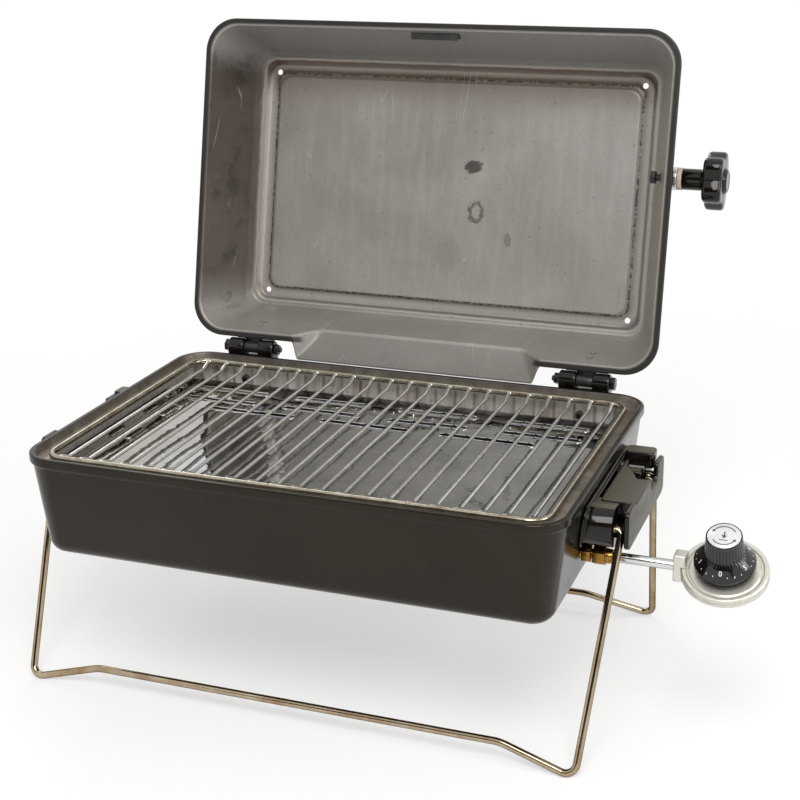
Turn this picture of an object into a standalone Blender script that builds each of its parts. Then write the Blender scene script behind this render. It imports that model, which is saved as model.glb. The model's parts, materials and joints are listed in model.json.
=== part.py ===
# Folding tabletop gas grill: drawn steel firebox and hinged lid, wire grate, slotted heat plate,
# burner with gas line and regulator, two side handles and two folding wire legs.
# Working frame: +X to the gas side, +Y to the hinges, +Z up, rim plane at z = 0, firebox centred.
# The finished grill is then moved so that the middle of its footprint is the origin.
import math

import bmesh
import bpy
from mathutils import Matrix, Vector

MM = 0.001
GAP = 0.3 * MM                 # clearance between pieces that touch
FIT = 0.4 * MM                 # radial clearance of a turning pin

# firebox
RIM_LENGTH = 460 * MM
RIM_WIDTH = 303 * MM
RIM_CORNER = 30 * MM
SHEET = 0.9 * MM
LIP_DROP = 6.2 * MM            # outer skirt of the rolled rim
LEDGE_DROP = 7.5 * MM          # grate ledge below the rim plane
LEDGE_INSET = 17.9 * MM
WALL_INSET = 3.0 * MM
WALL_TOP = 9.0 * MM            # where the plain wall starts, below the rim plane
WALL_DRAFT = 0.116             # inset per height
BOX_DEPTH = 90 * MM
FLOOR_RADIUS = 13 * MM
STAND_HEIGHT = 210 * MM        # rim plane above the ground

# lid
LID_OVERHANG = 1.0 * MM
LID_SHEET = 0.8 * MM
LID_SEAT = 0.85 * MM           # middle of the lid's flange above the rim plane
LID_FLANGE = 5.6 * MM
LID_DEPTH = 76 * MM
LID_DRAFT = 0.30
LID_OPEN = math.radians(102.9)
HINGE_BEHIND = 11.1 * MM       # hinge axis behind the rim
HINGE_HEIGHT = 4.1 * MM
HINGE_IN = 63 * MM             # hinge's middle in from the rim's end
HINGE_X = RIM_LENGTH / 2 - HINGE_IN
VENT_HALF = HINGE_X - 45 * MM  # flared vent at the lid's rear edge, between the hinges
VENT_TAPER = 19 * MM
VENT_REACH = 17.0 * MM
VENT_RISE = 22 * MM

# legs and side handles
LEG_RADIUS = 3.0 * MM
PIVOT_Y = 58 * MM
PIVOT_DROP = 37 * MM
LEG_TOP_X = RIM_LENGTH / 2 + 23.3 * MM
FOOT_X = RIM_LENGTH / 2 + 10.5 * MM
FOOT_Y = RIM_WIDTH / 2 - 9.5 * MM
FOOT_RISE = 17 * MM            # how far the crossbar's middle stands off the ground line
FOOT_RUN = 62 * MM
BOSS_RADIUS = 13 * MM
BOSS_END_X = LEG_TOP_X - LEG_RADIUS - 1.5 * MM
FLANGE_INNER_X = LEG_TOP_X + LEG_RADIUS + 0.6 * MM
HANDLE_OUTER_X = FLANGE_INNER_X + 4.6 * MM
GRIP_INNER_X = RIM_LENGTH / 2 + 2 * MM
HANDLE_TOP = -20 * MM
HANDLE_PLATE = 2.5 * MM
PLATE_HALF = 17.6 * MM         # half the height of the handle's wall plate
PLATE_MIDDLE = -33.4 * MM
STEP = 0.4 * MM                # small steps between joined faces of one moulding
RETAINER_RADIUS = 6.5 * MM

# grate and heat plate
GRATE_ROD = 2.5 * MM
GRATE_WIRE = 1.8 * MM
GRATE_INSET = 17.2 * MM
GRATE_END = 13.2 * MM          # last wire in from the frame's end
GRATE_PITCH = 19.0 * MM
GRATE_DIP = 5.0 * MM
GRATE_KINK = (0.4 * MM, 4.8 * MM, 10.5 * MM)   # a wire's end, step and foot in from the frame
HEAT_PLATE_Z = -21 * MM
HEAT_PLATE_INSET = 26 * MM     # inside the rim's edge
HEAT_SHEET = 0.8 * MM
HEAT_FLANGE = 8 * MM

# burner
BURNER_X = -20 * MM
BURNER_HALF_X = RIM_LENGTH / 2 - 100 * MM
BURNER_HALF_Y = 34 * MM
BURNER_SHEET = 0.9 * MM
BURNER_RISE = 11 * MM
BURNER_FALL = 9 * MM
PORT_PITCH = 22 * MM
PORT_END = 42 * MM             # last port in from the burner's end
VENTURI_RADIUS = 9 * MM

# gas side
BRASS_THREAD = 4.8 * MM
HEX_ONE = 7.6 * MM             # across the corners, halved
INLET_Y = -PIVOT_Y
INLET_DROP = PLATE_HALF - PLATE_MIDDLE + HEX_ONE + 1.4 * MM   # the hexagon clears the handle's plate
HEX_TWO = 8.4 * MM
TUBE_RADIUS = 4.0 * MM
TUBE_END_X = RIM_LENGTH / 2 + 69 * MM
REGULATOR_TILT = math.radians(22.5)
REGULATOR_RADIUS = 33.2 * MM
REGULATOR_X = TUBE_END_X + REGULATOR_RADIUS + 1.8 * MM
FLANGE_HALF = 3.8 * MM         # each pressed half of the regulator's crimped edge
REGULATOR_DEPTH = 13.2 * MM
CONNECTOR_RADIUS = 15 * MM
CONNECTOR_LENGTH = 11 * MM
CONNECTOR_ROOF = 2.2 * MM
SOCKET_RADIUS = 12.7 * MM      # one-inch gas cylinder thread
STEM_RADIUS = 3.0 * MM
KNOB_LIFT = 5.0 * MM           # skirt above the regulator's face
KNOB_RADIUS = 23.5 * MM
KNOB_HEIGHT = 31 * MM
VALVE_TRAVEL = 2.5 * MM

# lid knob
KNOB_Y = -25 * MM
KNOB_Z = 35 * MM
SPACER_END_X = RIM_LENGTH / 2 + 1 * MM
STEM_END_X = RIM_LENGTH / 2 + 26 * MM
STAR_END_X = RIM_LENGTH / 2 + 46 * MM
KNOB_WASHER = 4.0 * MM
STUD_RADIUS = 3.0 * MM
STAR_RADIUS = 27 * MM
STAR_LOBES = 5
LOBE_STEPS = 6

# screws
SCREW_RADIUS = 2.0 * MM
SCREW_HOLE = 2.3 * MM
SCREW_HEAD = 4.2 * MM
RIVET_RADIUS = 1.6 * MM
RIVET_HOLE = 1.9 * MM

CORNER_STEPS = 3
SMALL_ROUND = 8                # sides of screws and their holes
ROUND = 12                     # sides of small round pieces
FINE_ROUND = 20

MATERIALS = {
    "black_enamel": ((0.035, 0.031, 0.026, 1), 0.32, 0.0),
    "lid_enamel": ((0.16, 0.145, 0.125, 1), 0.45, 0.3),
    "black_plastic": ((0.012, 0.012, 0.013, 1), 0.25, 0.0),
    "zinc": ((0.62, 0.62, 0.63, 1), 0.35, 1.0),
    "gold_zinc": ((0.60, 0.50, 0.33, 1), 0.3, 1.0),
    "dark_steel": ((0.14, 0.13, 0.12, 1), 0.45, 0.8),
    "chrome": ((0.78, 0.77, 0.75, 1), 0.15, 1.0),
    "bright_steel": ((0.60, 0.60, 0.60, 1), 0.2, 1.0),
    "burner_steel": ((0.30, 0.27, 0.24, 1), 0.5, 0.9),
    "brass": ((0.66, 0.42, 0.14, 1), 0.3, 1.0),
    "die_cast": ((0.58, 0.58, 0.56, 1), 0.45, 0.9),
    "fibre": ((0.72, 0.62, 0.52, 1), 0.8, 0.0),
    "membrane": ((0.30, 0.10, 0.06, 1), 0.7, 0.0),
    "rubber": ((0.02, 0.02, 0.02, 1), 0.8, 0.0),
    "label": ((0.85, 0.86, 0.87, 1), 0.35, 0.0),
}


# ---- scene and object helpers ----

def clear_scene():
    for item in list(bpy.data.objects):
        bpy.data.objects.remove(item, do_unlink=True)


def material(name):
    found = bpy.data.materials.get(name)
    if found:
        return found
    colour, roughness, metallic = MATERIALS[name]
    made = bpy.data.materials.new(name)
    made.use_nodes = True
    shader = made.node_tree.nodes["Principled BSDF"]
    shader.inputs["Base Color"].default_value = colour
    shader.inputs["Roughness"].default_value = roughness
    shader.inputs["Metallic"].default_value = metallic
    return made


def link(item):
    PARTS.objects.link(item)
    return item


def mesh_object(name, bm):
    bmesh.ops.recalc_face_normals(bm, faces=bm.faces)
    mesh = bpy.data.meshes.new(name)
    bm.to_mesh(mesh)
    bm.free()
    return link(bpy.data.objects.new(name, mesh))


def baked(item, weld=0.00001):
    # replaces an object by the plain mesh of its evaluated form
    bpy.context.view_layer.update()
    graph = bpy.context.evaluated_depsgraph_get()
    mesh = bpy.data.meshes.new_from_object(item.evaluated_get(graph))
    bm = bmesh.new()
    bm.from_mesh(mesh)
    bmesh.ops.transform(bm, matrix=item.matrix_world, verts=bm.verts)
    if weld:
        bmesh.ops.remove_doubles(bm, verts=bm.verts, dist=weld)
    name = item.name
    bpy.data.objects.remove(item, do_unlink=True)
    bpy.data.meshes.remove(mesh)
    return mesh_object(name, bm)


def combined(name, items):
    # disjoint solids in one object
    bm = bmesh.new()
    for item in items:
        bm.from_mesh(item.data)
        bpy.data.objects.remove(item, do_unlink=True)
    return mesh_object(name, bm)


def boolean(target, tools, operation):
    for tool in tools:
        step = target.modifiers.new(operation.lower(), "BOOLEAN")
        step.operation = operation
        step.solver = "EXACT"
        step.object = tool
        target = baked(target, None)
        bpy.data.objects.remove(tool, do_unlink=True)
    return target


def united(target, *tools):
    return boolean(target, tools, "UNION")


def cut(target, *tools):
    return boolean(target, tools, "DIFFERENCE")


def finished(item, name, slot, parent, axis_place=Vector()):
    # the mesh is in the working frame: it is moved so that the object's origin is its parent's
    item.name = name
    item.data.name = name
    item.data.materials.clear()
    item.data.materials.append(material(slot))
    item.data.transform(Matrix.Translation(-Vector(axis_place)))
    item.data.set_sharp_from_angle(angle=math.radians(35))
    item.data.shade_smooth()
    item.data.set_sharp_from_angle(angle=math.radians(35))
    item.parent = parent
    return item


def empty(name, place, parent=None):
    item = bpy.data.objects.new(name, None)
    item.empty_display_size = 0.02
    item.location = place
    item.parent = parent
    return link(item)


def cylinder(radius, start, end, sides=ROUND, end_radius=None):
    # a solid rod or cone between two points
    start, end = Vector(start), Vector(end)
    bm = bmesh.new()
    bmesh.ops.create_cone(bm, cap_ends=True, cap_tris=False, segments=sides, radius1=radius,
                          radius2=radius if end_radius is None else end_radius,
                          depth=(end - start).length)
    turn = (end - start).to_track_quat("Z", "Y").to_matrix().to_4x4()
    bmesh.ops.transform(bm, matrix=Matrix.Translation((start + end) / 2) @ turn, verts=bm.verts)
    return mesh_object("rod", bm)


def block(low, high, bevel=0.0, steps=1):
    low, high = Vector(low), Vector(high)
    bm = bmesh.new()
    bmesh.ops.create_cube(bm, size=1.0)
    size = high - low
    bmesh.ops.scale(bm, vec=size, verts=bm.verts)
    bmesh.ops.translate(bm, vec=(low + high) / 2, verts=bm.verts)
    if bevel:
        bmesh.ops.bevel(bm, geom=bm.edges[:], offset=bevel, segments=steps, affect="EDGES",
                        profile=0.5)
    return mesh_object("block", bm)


def slab(outline, low, high, axes="XY"):
    # a flat outline as a filled 2D curve, extruded between two heights along the third axis
    curve = bpy.data.curves.new("outline", "CURVE")
    curve.dimensions = "2D"
    curve.fill_mode = "BOTH"
    curve.extrude = (high - low) / 2
    spline = curve.splines.new("POLY")
    spline.points.add(len(outline) - 1)
    for point, (u, v) in zip(spline.points, outline):
        point.co = (u, v, 0, 1)
    spline.use_cyclic_u = True
    item = baked(link(bpy.data.objects.new("slab", curve)))
    item.data.transform(Matrix.Translation((0, 0, (high + low) / 2)))
    if axes == "YZ":
        item.data.transform(Matrix(((0, 0, 1, 0), (1, 0, 0, 0), (0, 1, 0, 0), (0, 0, 0, 1))))
    return item


def turned(profile, sides=FINE_ROUND):
    # a closed half-section at +X, turned about Z
    mesh = bpy.data.meshes.new("profile")
    count = len(profile)
    on_axis = profile[0][0] == 0 and profile[-1][0] == 0
    edges = [(i, i + 1) for i in range(count - 1)]
    if not on_axis:
        edges.append((count - 1, 0))
    mesh.from_pydata([(r, 0, z) for r, z in profile], edges, [])
    item = link(bpy.data.objects.new("turned", mesh))
    screw = item.modifiers.new("turn", "SCREW")
    screw.axis = "Z"
    screw.steps = sides
    screw.render_steps = sides
    screw.use_merge_vertices = True
    screw.merge_threshold = 0.00001
    return baked(item)


def hexagon(radius, start, end):
    return cylinder(radius, start, end, 6)


def rounded_path(points, radius, steps=4, closed=False):
    # corners of a polyline replaced by arcs
    points = [Vector(p) for p in points]
    radii = radius if isinstance(radius, (list, tuple)) else [radius] * len(points)
    path = []
    count = len(points)
    for i, corner in enumerate(points):
        if not closed and i in (0, count - 1):
            path.append(corner)
            continue
        into = (points[i - 1] - corner).normalized()
        out = (points[(i + 1) % count] - corner).normalized()
        half = into.angle(out) / 2
        back = radii[i] / math.tan(half)
        first, last = corner + into * back, corner + out * back
        centre = corner + (into + out).normalized() * (radii[i] / math.sin(half))
        for k in range(steps + 1):
            blend = first.lerp(last, k / steps) - centre
            path.append(centre + blend.normalized() * radii[i])
    return path


def wire(points, radius, closed=False, resolution=2):
    curve = bpy.data.curves.new("wire", "CURVE")
    curve.dimensions = "3D"
    curve.bevel_depth = radius
    curve.bevel_resolution = resolution
    curve.use_fill_caps = not closed
    spline = curve.splines.new("POLY")
    spline.points.add(len(points) - 1)
    for point, place in zip(spline.points, points):
        point.co = (*place, 1)
    spline.use_cyclic_u = closed
    return baked(link(bpy.data.objects.new("wire", curve)))


def rounded_rectangle(half_x, half_y, radius, steps=CORNER_STEPS, centre=(0, 0)):
    # anticlockwise outline, starting at the right end of the rear edge
    outline = []
    for sign_x, sign_y, start in ((1, 1, 0), (-1, 1, 90), (-1, -1, 180), (1, -1, 270)):
        for k in range(steps + 1):
            angle = math.radians(start + 90 * k / steps)
            outline.append((centre[0] + sign_x * (half_x - radius) + radius * math.cos(angle),
                            centre[1] + sign_y * (half_y - radius) + radius * math.sin(angle)))
    return outline


def stadium(length, width, centre, steps=2):
    return rounded_rectangle(length / 2, width / 2, width / 2 * 0.999, steps, centre)


def loft(rings, thickness, cap_last=True):
    # an open skin through equal rings of points, thickened to both sides
    bm = bmesh.new()
    rows = [[bm.verts.new(p) for p in ring] for ring in rings]
    count = len(rows[0])
    for upper, lower in zip(rows, rows[1:]):
        for i in range(count):
            j = (i + 1) % count
            bm.faces.new((upper[i], upper[j], lower[j], lower[i]))
    if cap_last:
        bm.faces.new(rows[-1])
    item = mesh_object("loft", bm)
    shell = item.modifiers.new("sheet", "SOLIDIFY")
    shell.thickness = thickness
    shell.offset = 0.0
    shell.use_even_offset = True
    return baked(item)


# ---- shared geometry of the sheet parts ----

def wall_inset(z):
    # middle of the firebox wall, in from the rim's edge, at a height below the rim plane
    return WALL_INSET + WALL_DRAFT * (-WALL_TOP - z)


def wall_outer(half, z):
    return half - wall_inset(z) + SHEET / 2


def wall_inner(half, z):
    return half - wall_inset(z) - SHEET / 2


def lid_wall(half, z):
    # outer face of the lid's sloping wall, in the closed lid's frame
    return half + LID_OVERHANG - LID_FLANGE - LID_DRAFT * (z - LID_SEAT) + LID_SHEET * 0.55


def hinge_place():
    return Vector((0, RIM_WIDTH / 2 + HINGE_BEHIND, HINGE_HEIGHT))


def spread(reach, pitch):
    # places at an even pitch about the middle, as many as fit within the reach to each side
    count = int(2 * reach / pitch + 0.001) + 1
    return [(k - (count - 1) / 2) * pitch for k in range(count)]


# ---- firebox ----

FLOOR_HOLE = 7 * MM
FLOOR_HOLE_PITCH = 70 * MM
FLOOR_HOLE_END = 90 * MM       # last hole in from the rim's end
FLOOR_HOLE_INSET = 89.5 * MM


def firebox(parent):
    half = SHEET / 2
    floor_z = -BOX_DEPTH + half
    bend_z = floor_z + FLOOR_RADIUS
    section = [(LEDGE_INSET, -LEDGE_DROP), (WALL_INSET + 3.6 * MM, -LEDGE_DROP),
               (WALL_INSET + 2.3 * MM, -LEDGE_DROP + 1.1 * MM), (WALL_INSET + 1.5 * MM, -1.2 * MM),
               (WALL_INSET, -half), (1.7 * MM, -half), (half, -1.5 * MM),
               (half, -LIP_DROP), (1.4 * MM, -LIP_DROP - 1.2 * MM), (WALL_INSET, -WALL_TOP)]
    bend_inset = wall_inset(bend_z)
    section.append((bend_inset, bend_z))
    for k in range(1, 4):
        angle = math.radians(90 * k / 3)
        section.append((bend_inset + FLOOR_RADIUS * (1 - math.cos(angle)),
                        bend_z - FLOOR_RADIUS * math.sin(angle)))
    rings = []
    for inset, z in section:
        outline = rounded_rectangle(RIM_LENGTH / 2 - inset, RIM_WIDTH / 2 - inset,
                                    max(RIM_CORNER - inset, 9 * MM))
        rings.append([(x, y, z) for x, y in outline])
    box = loft(rings, SHEET)

    holes = []
    deep = 8 * MM
    for x in spread(RIM_LENGTH / 2 - FLOOR_HOLE_END, FLOOR_HOLE_PITCH):
        for row in (-1, 1):
            centre = (x, row * (RIM_WIDTH / 2 - FLOOR_HOLE_INSET))
            holes.append(cylinder(FLOOR_HOLE, (*centre, floor_z - deep), (*centre, floor_z + deep)))
    pivot_x = wall_outer(RIM_LENGTH / 2, -PIVOT_DROP)
    for side in (-1, 1):
        for y in (-PIVOT_Y, PIVOT_Y):
            holes.append(cylinder(LEG_RADIUS + FIT, (side * (pivot_x - deep), y, -PIVOT_DROP),
                                  (side * (pivot_x + deep), y, -PIVOT_DROP)))
        screw_y = wall_outer(RIM_WIDTH / 2, BRACKET_SCREW_Z)
        holes.append(cylinder(SCREW_HOLE, (side * HINGE_X, screw_y - deep, BRACKET_SCREW_Z),
                              (side * HINGE_X, screw_y + deep, BRACKET_SCREW_Z), SMALL_ROUND))
        for y, z in handle_screw_places():
            wall_x = wall_outer(RIM_LENGTH / 2, z)
            holes.append(cylinder(SCREW_HOLE, (side * (wall_x - deep), y, z),
                                  (side * (wall_x + deep), y, z), SMALL_ROUND))
    inlet_x = wall_outer(RIM_LENGTH / 2, -INLET_DROP)
    holes.append(cylinder(BRASS_THREAD + FIT, (inlet_x - deep, INLET_Y, -INLET_DROP),
                          (inlet_x + deep, INLET_Y, -INLET_DROP)))
    screw_x = BURNER_X - BRACKET_STATION
    holes.append(cylinder(SCREW_HOLE, (screw_x, 0, floor_z - deep), (screw_x, 0, floor_z + deep),
                          SMALL_ROUND))
    box = cut(box, combined("holes", holes))
    return finished(box, "firebox", "black_enamel", parent)


# ---- hinges ----

KNUCKLE_RADIUS = 8.5 * MM
KNUCKLE_WIDTH = 16 * MM
STRAP_WIDTH = 15 * MM
STRAP_SHEET = 1.5 * MM
STRAP_REACH = 34 * MM
BOLT_RADIUS = 2.5 * MM
BOLT_HEAD = 6.2 * MM
BARREL_RADIUS = 5.2 * MM
BRACKET_TOP = -LIP_DROP - 2.4 * MM
BRACKET_BOTTOM = -46 * MM
BRACKET_SCREW_Z = -22 * MM
BRACKET_HALF = KNUCKLE_WIDTH + STRAP_WIDTH / 2 + GAP


def arc(centre, radius, start, end, steps):
    return [(centre[0] + radius * math.cos(math.radians(start + (end - start) * k / steps)),
             centre[1] + radius * math.sin(math.radians(start + (end - start) * k / steps)))
            for k in range(steps + 1)]


def bracket_face(z):
    # back face of the bracket's wall plate
    high_y = wall_outer(RIM_WIDTH / 2, BRACKET_TOP) + GAP + 3.4 * MM
    low_y = wall_outer(RIM_WIDTH / 2, BRACKET_BOTTOM) + GAP + 3 * MM
    high_z = BRACKET_TOP - 9 * MM
    return low_y + (high_y - low_y) * (z - BRACKET_BOTTOM) / (high_z - BRACKET_BOTTOM)


def open_stop(axis):
    # bar behind the strap: its front face meets the open strap's back
    lean = Vector((-math.cos(LID_OPEN), math.sin(LID_OPEN)))
    out = Vector((math.sin(LID_OPEN), math.cos(LID_OPEN)))
    start = Vector(axis) + out * (BARREL_RADIUS + GAP)
    low, high = start, start + lean * 8.5 * MM
    back = out * 2.2 * MM
    return [tuple(low), tuple(high), tuple(high + back), tuple(low + back)]


def hinge_bracket(side, name, parent):
    # wall plate, arm under the rim and two knuckles, with a stop bar behind the strap
    pin = hinge_place()
    axis = (pin.y, pin.z)
    centre = side * HINGE_X
    top_z = -WALL_TOP - 2 * MM
    top_y = wall_outer(RIM_WIDTH / 2, top_z) + GAP
    low_y = wall_outer(RIM_WIDTH / 2, BRACKET_BOTTOM) + GAP
    outer_y = pin.y + KNUCKLE_RADIUS - 1 * MM
    rim_y = RIM_WIDTH / 2 + 1.6 * MM
    arm_top = pin.z - BARREL_RADIUS - 1.2 * MM
    elbow = BRACKET_TOP - 9 * MM
    base = [(RIM_WIDTH / 2 - 0.6 * MM, BRACKET_TOP), (top_y, top_z), (low_y, BRACKET_BOTTOM),
            (bracket_face(BRACKET_BOTTOM), BRACKET_BOTTOM),
            (bracket_face(elbow), elbow), (outer_y - 4 * MM, BRACKET_TOP - 4 * MM),
            (outer_y, BRACKET_TOP + 2 * MM), (outer_y, arm_top), (rim_y, arm_top), (rim_y, BRACKET_TOP)]
    body = slab(base, centre - BRACKET_HALF, centre + BRACKET_HALF, "YZ")
    neck = arm_top - 1.2 * MM
    for hand in (-1, 1):
        inner = centre + hand * (STRAP_WIDTH / 2 + GAP)
        low, high = sorted((inner, centre + hand * BRACKET_HALF))
        ring = arc(axis, KNUCKLE_RADIUS, -60, 240, 14)
        ring += [(axis[0] - 6.5 * MM, neck), (axis[0] + 6.5 * MM, neck)]
        body = united(body, slab(ring, low, high, "YZ"))
    body = united(body, slab(open_stop(axis), centre - BRACKET_HALF + 4 * MM,
                             centre + BRACKET_HALF - 4 * MM, "YZ"))
    bore = cylinder(BOLT_RADIUS + FIT, (centre - BRACKET_HALF - 5 * MM, pin.y, pin.z),
                    (centre + BRACKET_HALF + 5 * MM, pin.y, pin.z), 12)
    seat = bracket_face(BRACKET_SCREW_Z) - 1 * MM
    hole = cylinder(SCREW_HOLE, (centre, low_y - 10 * MM, BRACKET_SCREW_Z),
                    (centre, seat + 1 * MM, BRACKET_SCREW_Z), SMALL_ROUND)
    spot_face = cylinder(5 * MM, (centre, seat, BRACKET_SCREW_Z),
                         (centre, seat + 8 * MM, BRACKET_SCREW_Z))
    body = cut(body, bore, hole, spot_face)
    return finished(body, name, "black_plastic", parent)


def hinge_strap(side, name, parent):
    # steel leaf curled round the bolt, running over the lid's flange and up its rear wall
    pin = hinge_place()
    axis = (pin.y, pin.z)
    centre = side * HINGE_X
    top = pin.z + BARREL_RADIUS
    under = top - STRAP_SHEET
    foot_y = lid_wall(RIM_WIDTH / 2, under) + GAP
    head_y = lid_wall(RIM_WIDTH / 2, STRAP_REACH) + GAP
    across = STRAP_SHEET * math.hypot(1, LID_DRAFT)
    start = 180 - math.degrees(math.asin((BARREL_RADIUS - STRAP_SHEET) / BARREL_RADIUS))
    outline = arc(axis, BARREL_RADIUS, start - 360, 90, 14)
    bend_z = top + 1.2 * MM
    bend_y = lid_wall(RIM_WIDTH / 2, bend_z) + GAP
    outline += [(bend_y + across + 1 * MM, top), (bend_y + across, bend_z),
                (head_y + across, STRAP_REACH), (head_y, STRAP_REACH), (foot_y, under)]
    strap = slab(outline, centre - STRAP_WIDTH / 2, centre + STRAP_WIDTH / 2, "YZ")
    bore = cylinder(BOLT_RADIUS + FIT, (centre - 20 * MM, pin.y, pin.z),
                    (centre + 20 * MM, pin.y, pin.z))
    tools = [bore]
    for place, normal in rivet_places(side):
        tools.append(cylinder(RIVET_HOLE, place - normal * 6 * MM, place + normal * 6 * MM, SMALL_ROUND))
    strap = cut(strap, *tools)
    return finished(strap, name, "dark_steel", parent, pin)


def rivet_places(side):
    normal = Vector((0, 1, LID_DRAFT)).normalized()
    return [(Vector((side * HINGE_X, lid_wall(RIM_WIDTH / 2, z), z)), normal)
            for z in (17 * MM, 28 * MM)]


def strap_rivet(place, normal, name, parent):
    outside = place + normal * (GAP + STRAP_SHEET + GAP)
    inside = place - normal * (LID_SHEET + 2 * GAP)
    shank = cylinder(RIVET_RADIUS, inside - normal * 0.5 * MM, outside + normal * 0.5 * MM, SMALL_ROUND)
    head = cylinder(3.4 * MM, outside, outside + normal * 1.6 * MM, ROUND, 2.0 * MM)
    tail = cylinder(2.2 * MM, inside - normal * 1.2 * MM, inside, ROUND, 3.0 * MM)
    return finished(united(shank, head, tail), name, "zinc", parent, hinge_place())


def hinge_bolt(side, name, parent):
    pin = hinge_place()
    centre = side * HINGE_X
    face = centre + side * (BRACKET_HALF + GAP)
    tip = centre - side * (BRACKET_HALF + 7 * MM)
    shank = cylinder(BOLT_RADIUS, (tip, pin.y, pin.z), (face + side * MM, pin.y, pin.z))
    head = hexagon(BOLT_HEAD, (face, pin.y, pin.z), (face + side * 4.2 * MM, pin.y, pin.z))
    return finished(united(shank, head), name, "zinc", parent)


def ring_nut(radius, bolt, start, end, sides=6):
    # a nut or washer with the bolt's clearance through it
    start, end = Vector(start), Vector(end)
    along = (end - start).normalized() * MM
    return cut(cylinder(radius, start, end, sides),
               cylinder(bolt + GAP * 0.7, start - along, end + along))


def hinge_nut(side, name, parent):
    pin = hinge_place()
    face = side * (HINGE_X - BRACKET_HALF - GAP)
    nut = ring_nut(5.4 * MM, BOLT_RADIUS, (face, pin.y, pin.z), (face - side * 4.4 * MM, pin.y, pin.z))
    return finished(nut, name, "zinc", parent)


def bracket_screw(side, name, parent):
    x, z = side * HINGE_X, BRACKET_SCREW_Z
    seat = bracket_face(z) - 1 * MM + GAP
    inner = wall_inner(RIM_WIDTH / 2, z)
    shank = cylinder(SCREW_RADIUS, (x, inner - 6 * MM, z), (x, seat + 0.6 * MM, z), SMALL_ROUND)
    head = cylinder(SCREW_HEAD, (x, seat, z), (x, seat + 2.6 * MM, z), ROUND, 3.0 * MM)
    return finished(united(shank, head), name, "zinc", parent)


def bracket_nut(side, name, parent):
    x, z = side * HINGE_X, BRACKET_SCREW_Z
    face = wall_inner(RIM_WIDTH / 2, z) - GAP - 0.5 * MM
    nut = ring_nut(SCREW_HEAD, SCREW_RADIUS, (x, face, z), (x, face - 3.2 * MM, z))
    return finished(nut, name, "zinc", parent)


# ---- lid, modelled shut ----

def vent_state(z):
    # how far the flared vent reaches behind the rim line and how long it is, at a height
    share = max(0.0, min(1.0, 1 - (z - LID_SEAT) / VENT_RISE))
    return share


def lid_ring(inset, z, radius):
    # a rounded rectangle whose rear edge swells into the vent near the rim
    half_x = RIM_LENGTH / 2 + LID_OVERHANG - inset
    half_y = RIM_WIDTH / 2 + LID_OVERHANG - inset
    share = vent_state(z)
    foot = VENT_HALF - VENT_TAPER * (1 - share)
    top_y = lid_wall(RIM_WIDTH / 2, LID_SEAT + VENT_RISE) - LID_SHEET * 0.55
    edge_y = RIM_WIDTH / 2 + VENT_REACH
    vent_y = top_y + (edge_y - top_y) * share
    if inset < LID_FLANGE:
        vent_y = edge_y + (LID_FLANGE - inset) * 0.30
    if share == 0.0:
        vent_y = half_y
    outline = []
    for sign_x, sign_y, start in ((1, 1, 0), (-1, 1, 90), (-1, -1, 180), (1, -1, 270)):
        for k in range(CORNER_STEPS + 1):
            angle = math.radians(start + 90 * k / CORNER_STEPS)
            outline.append((sign_x * (half_x - radius) + radius * math.cos(angle),
                            sign_y * (half_y - radius) + radius * math.sin(angle), z))
        if start == 0:
            side = 5 * MM
            outline += [(foot + side, half_y, z), (foot + 0.6 * MM, half_y, z),
                        (foot - 1.6 * MM, vent_y - 0.4 * MM * (share > 0), z), (foot - side, vent_y, z)]
            outline += [(-foot + side, vent_y, z), (-foot + 1.6 * MM, vent_y - 0.4 * MM * (share > 0), z),
                        (-foot - 0.6 * MM, half_y, z), (-foot - side, half_y, z)]
    return outline


LID_HOLE = 2.7 * MM
LID_HOLE_IN = 19.6 * MM        # corner holes in from the lid's shoulder, in the channel's corner


def lid(parent):
    wall = LID_FLANGE
    seat = LID_SEAT
    sections = [(-0.6 * MM, seat + 2.2 * MM), (-0.4 * MM, seat + 0.6 * MM), (0.2 * MM, seat),
                (wall - 1.4 * MM, seat), (wall + 0.2 * MM, seat + 1.2 * MM)]
    for z in (8 * MM, seat + VENT_RISE):
        sections.append((wall + LID_DRAFT * (z - seat), z))
    shoulder_z = LID_DEPTH - 14 * MM
    shoulder = wall + LID_DRAFT * (shoulder_z - seat)
    sections += [(shoulder, shoulder_z), (shoulder + 2.2 * MM, LID_DEPTH - 8.5 * MM),
                 (shoulder + 5.6 * MM, LID_DEPTH - 5.0 * MM), (shoulder + 9 * MM, LID_DEPTH - 4.4 * MM),
                 (shoulder + 12 * MM, LID_DEPTH), (shoulder + 21 * MM, LID_DEPTH),
                 (shoulder + 24 * MM, LID_DEPTH - 2.4 * MM)]
    rings = []
    for inset, z in sections:
        radius = max(RIM_CORNER + LID_OVERHANG - inset * 0.55, 12 * MM)
        rings.append(lid_ring(inset, z, radius))
    shell = loft(rings, LID_SHEET)

    tools = []
    corner = shoulder + LID_HOLE_IN - LID_OVERHANG
    for x in (corner - RIM_LENGTH / 2, RIM_LENGTH / 2 - corner):
        for y in (corner - RIM_WIDTH / 2, RIM_WIDTH / 2 - corner):
            tools.append(cylinder(LID_HOLE, (x, y, LID_DEPTH - 12 * MM), (x, y, LID_DEPTH + 6 * MM)))
    stud_x = lid_wall(RIM_LENGTH / 2, KNOB_Z)
    tools.append(cylinder(STUD_RADIUS + FIT, (stud_x - 10 * MM, KNOB_Y, KNOB_Z),
                          (stud_x + 8 * MM, KNOB_Y, KNOB_Z)))
    for side in (-1, 1):
        for place, normal in rivet_places(side):
            tools.append(cylinder(RIVET_HOLE, place - normal * 5 * MM, place + normal * 4 * MM, SMALL_ROUND))
    shell = cut(shell, combined("holes", tools))
    return finished(shell, "lid", "lid_enamel", parent, hinge_place())


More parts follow.
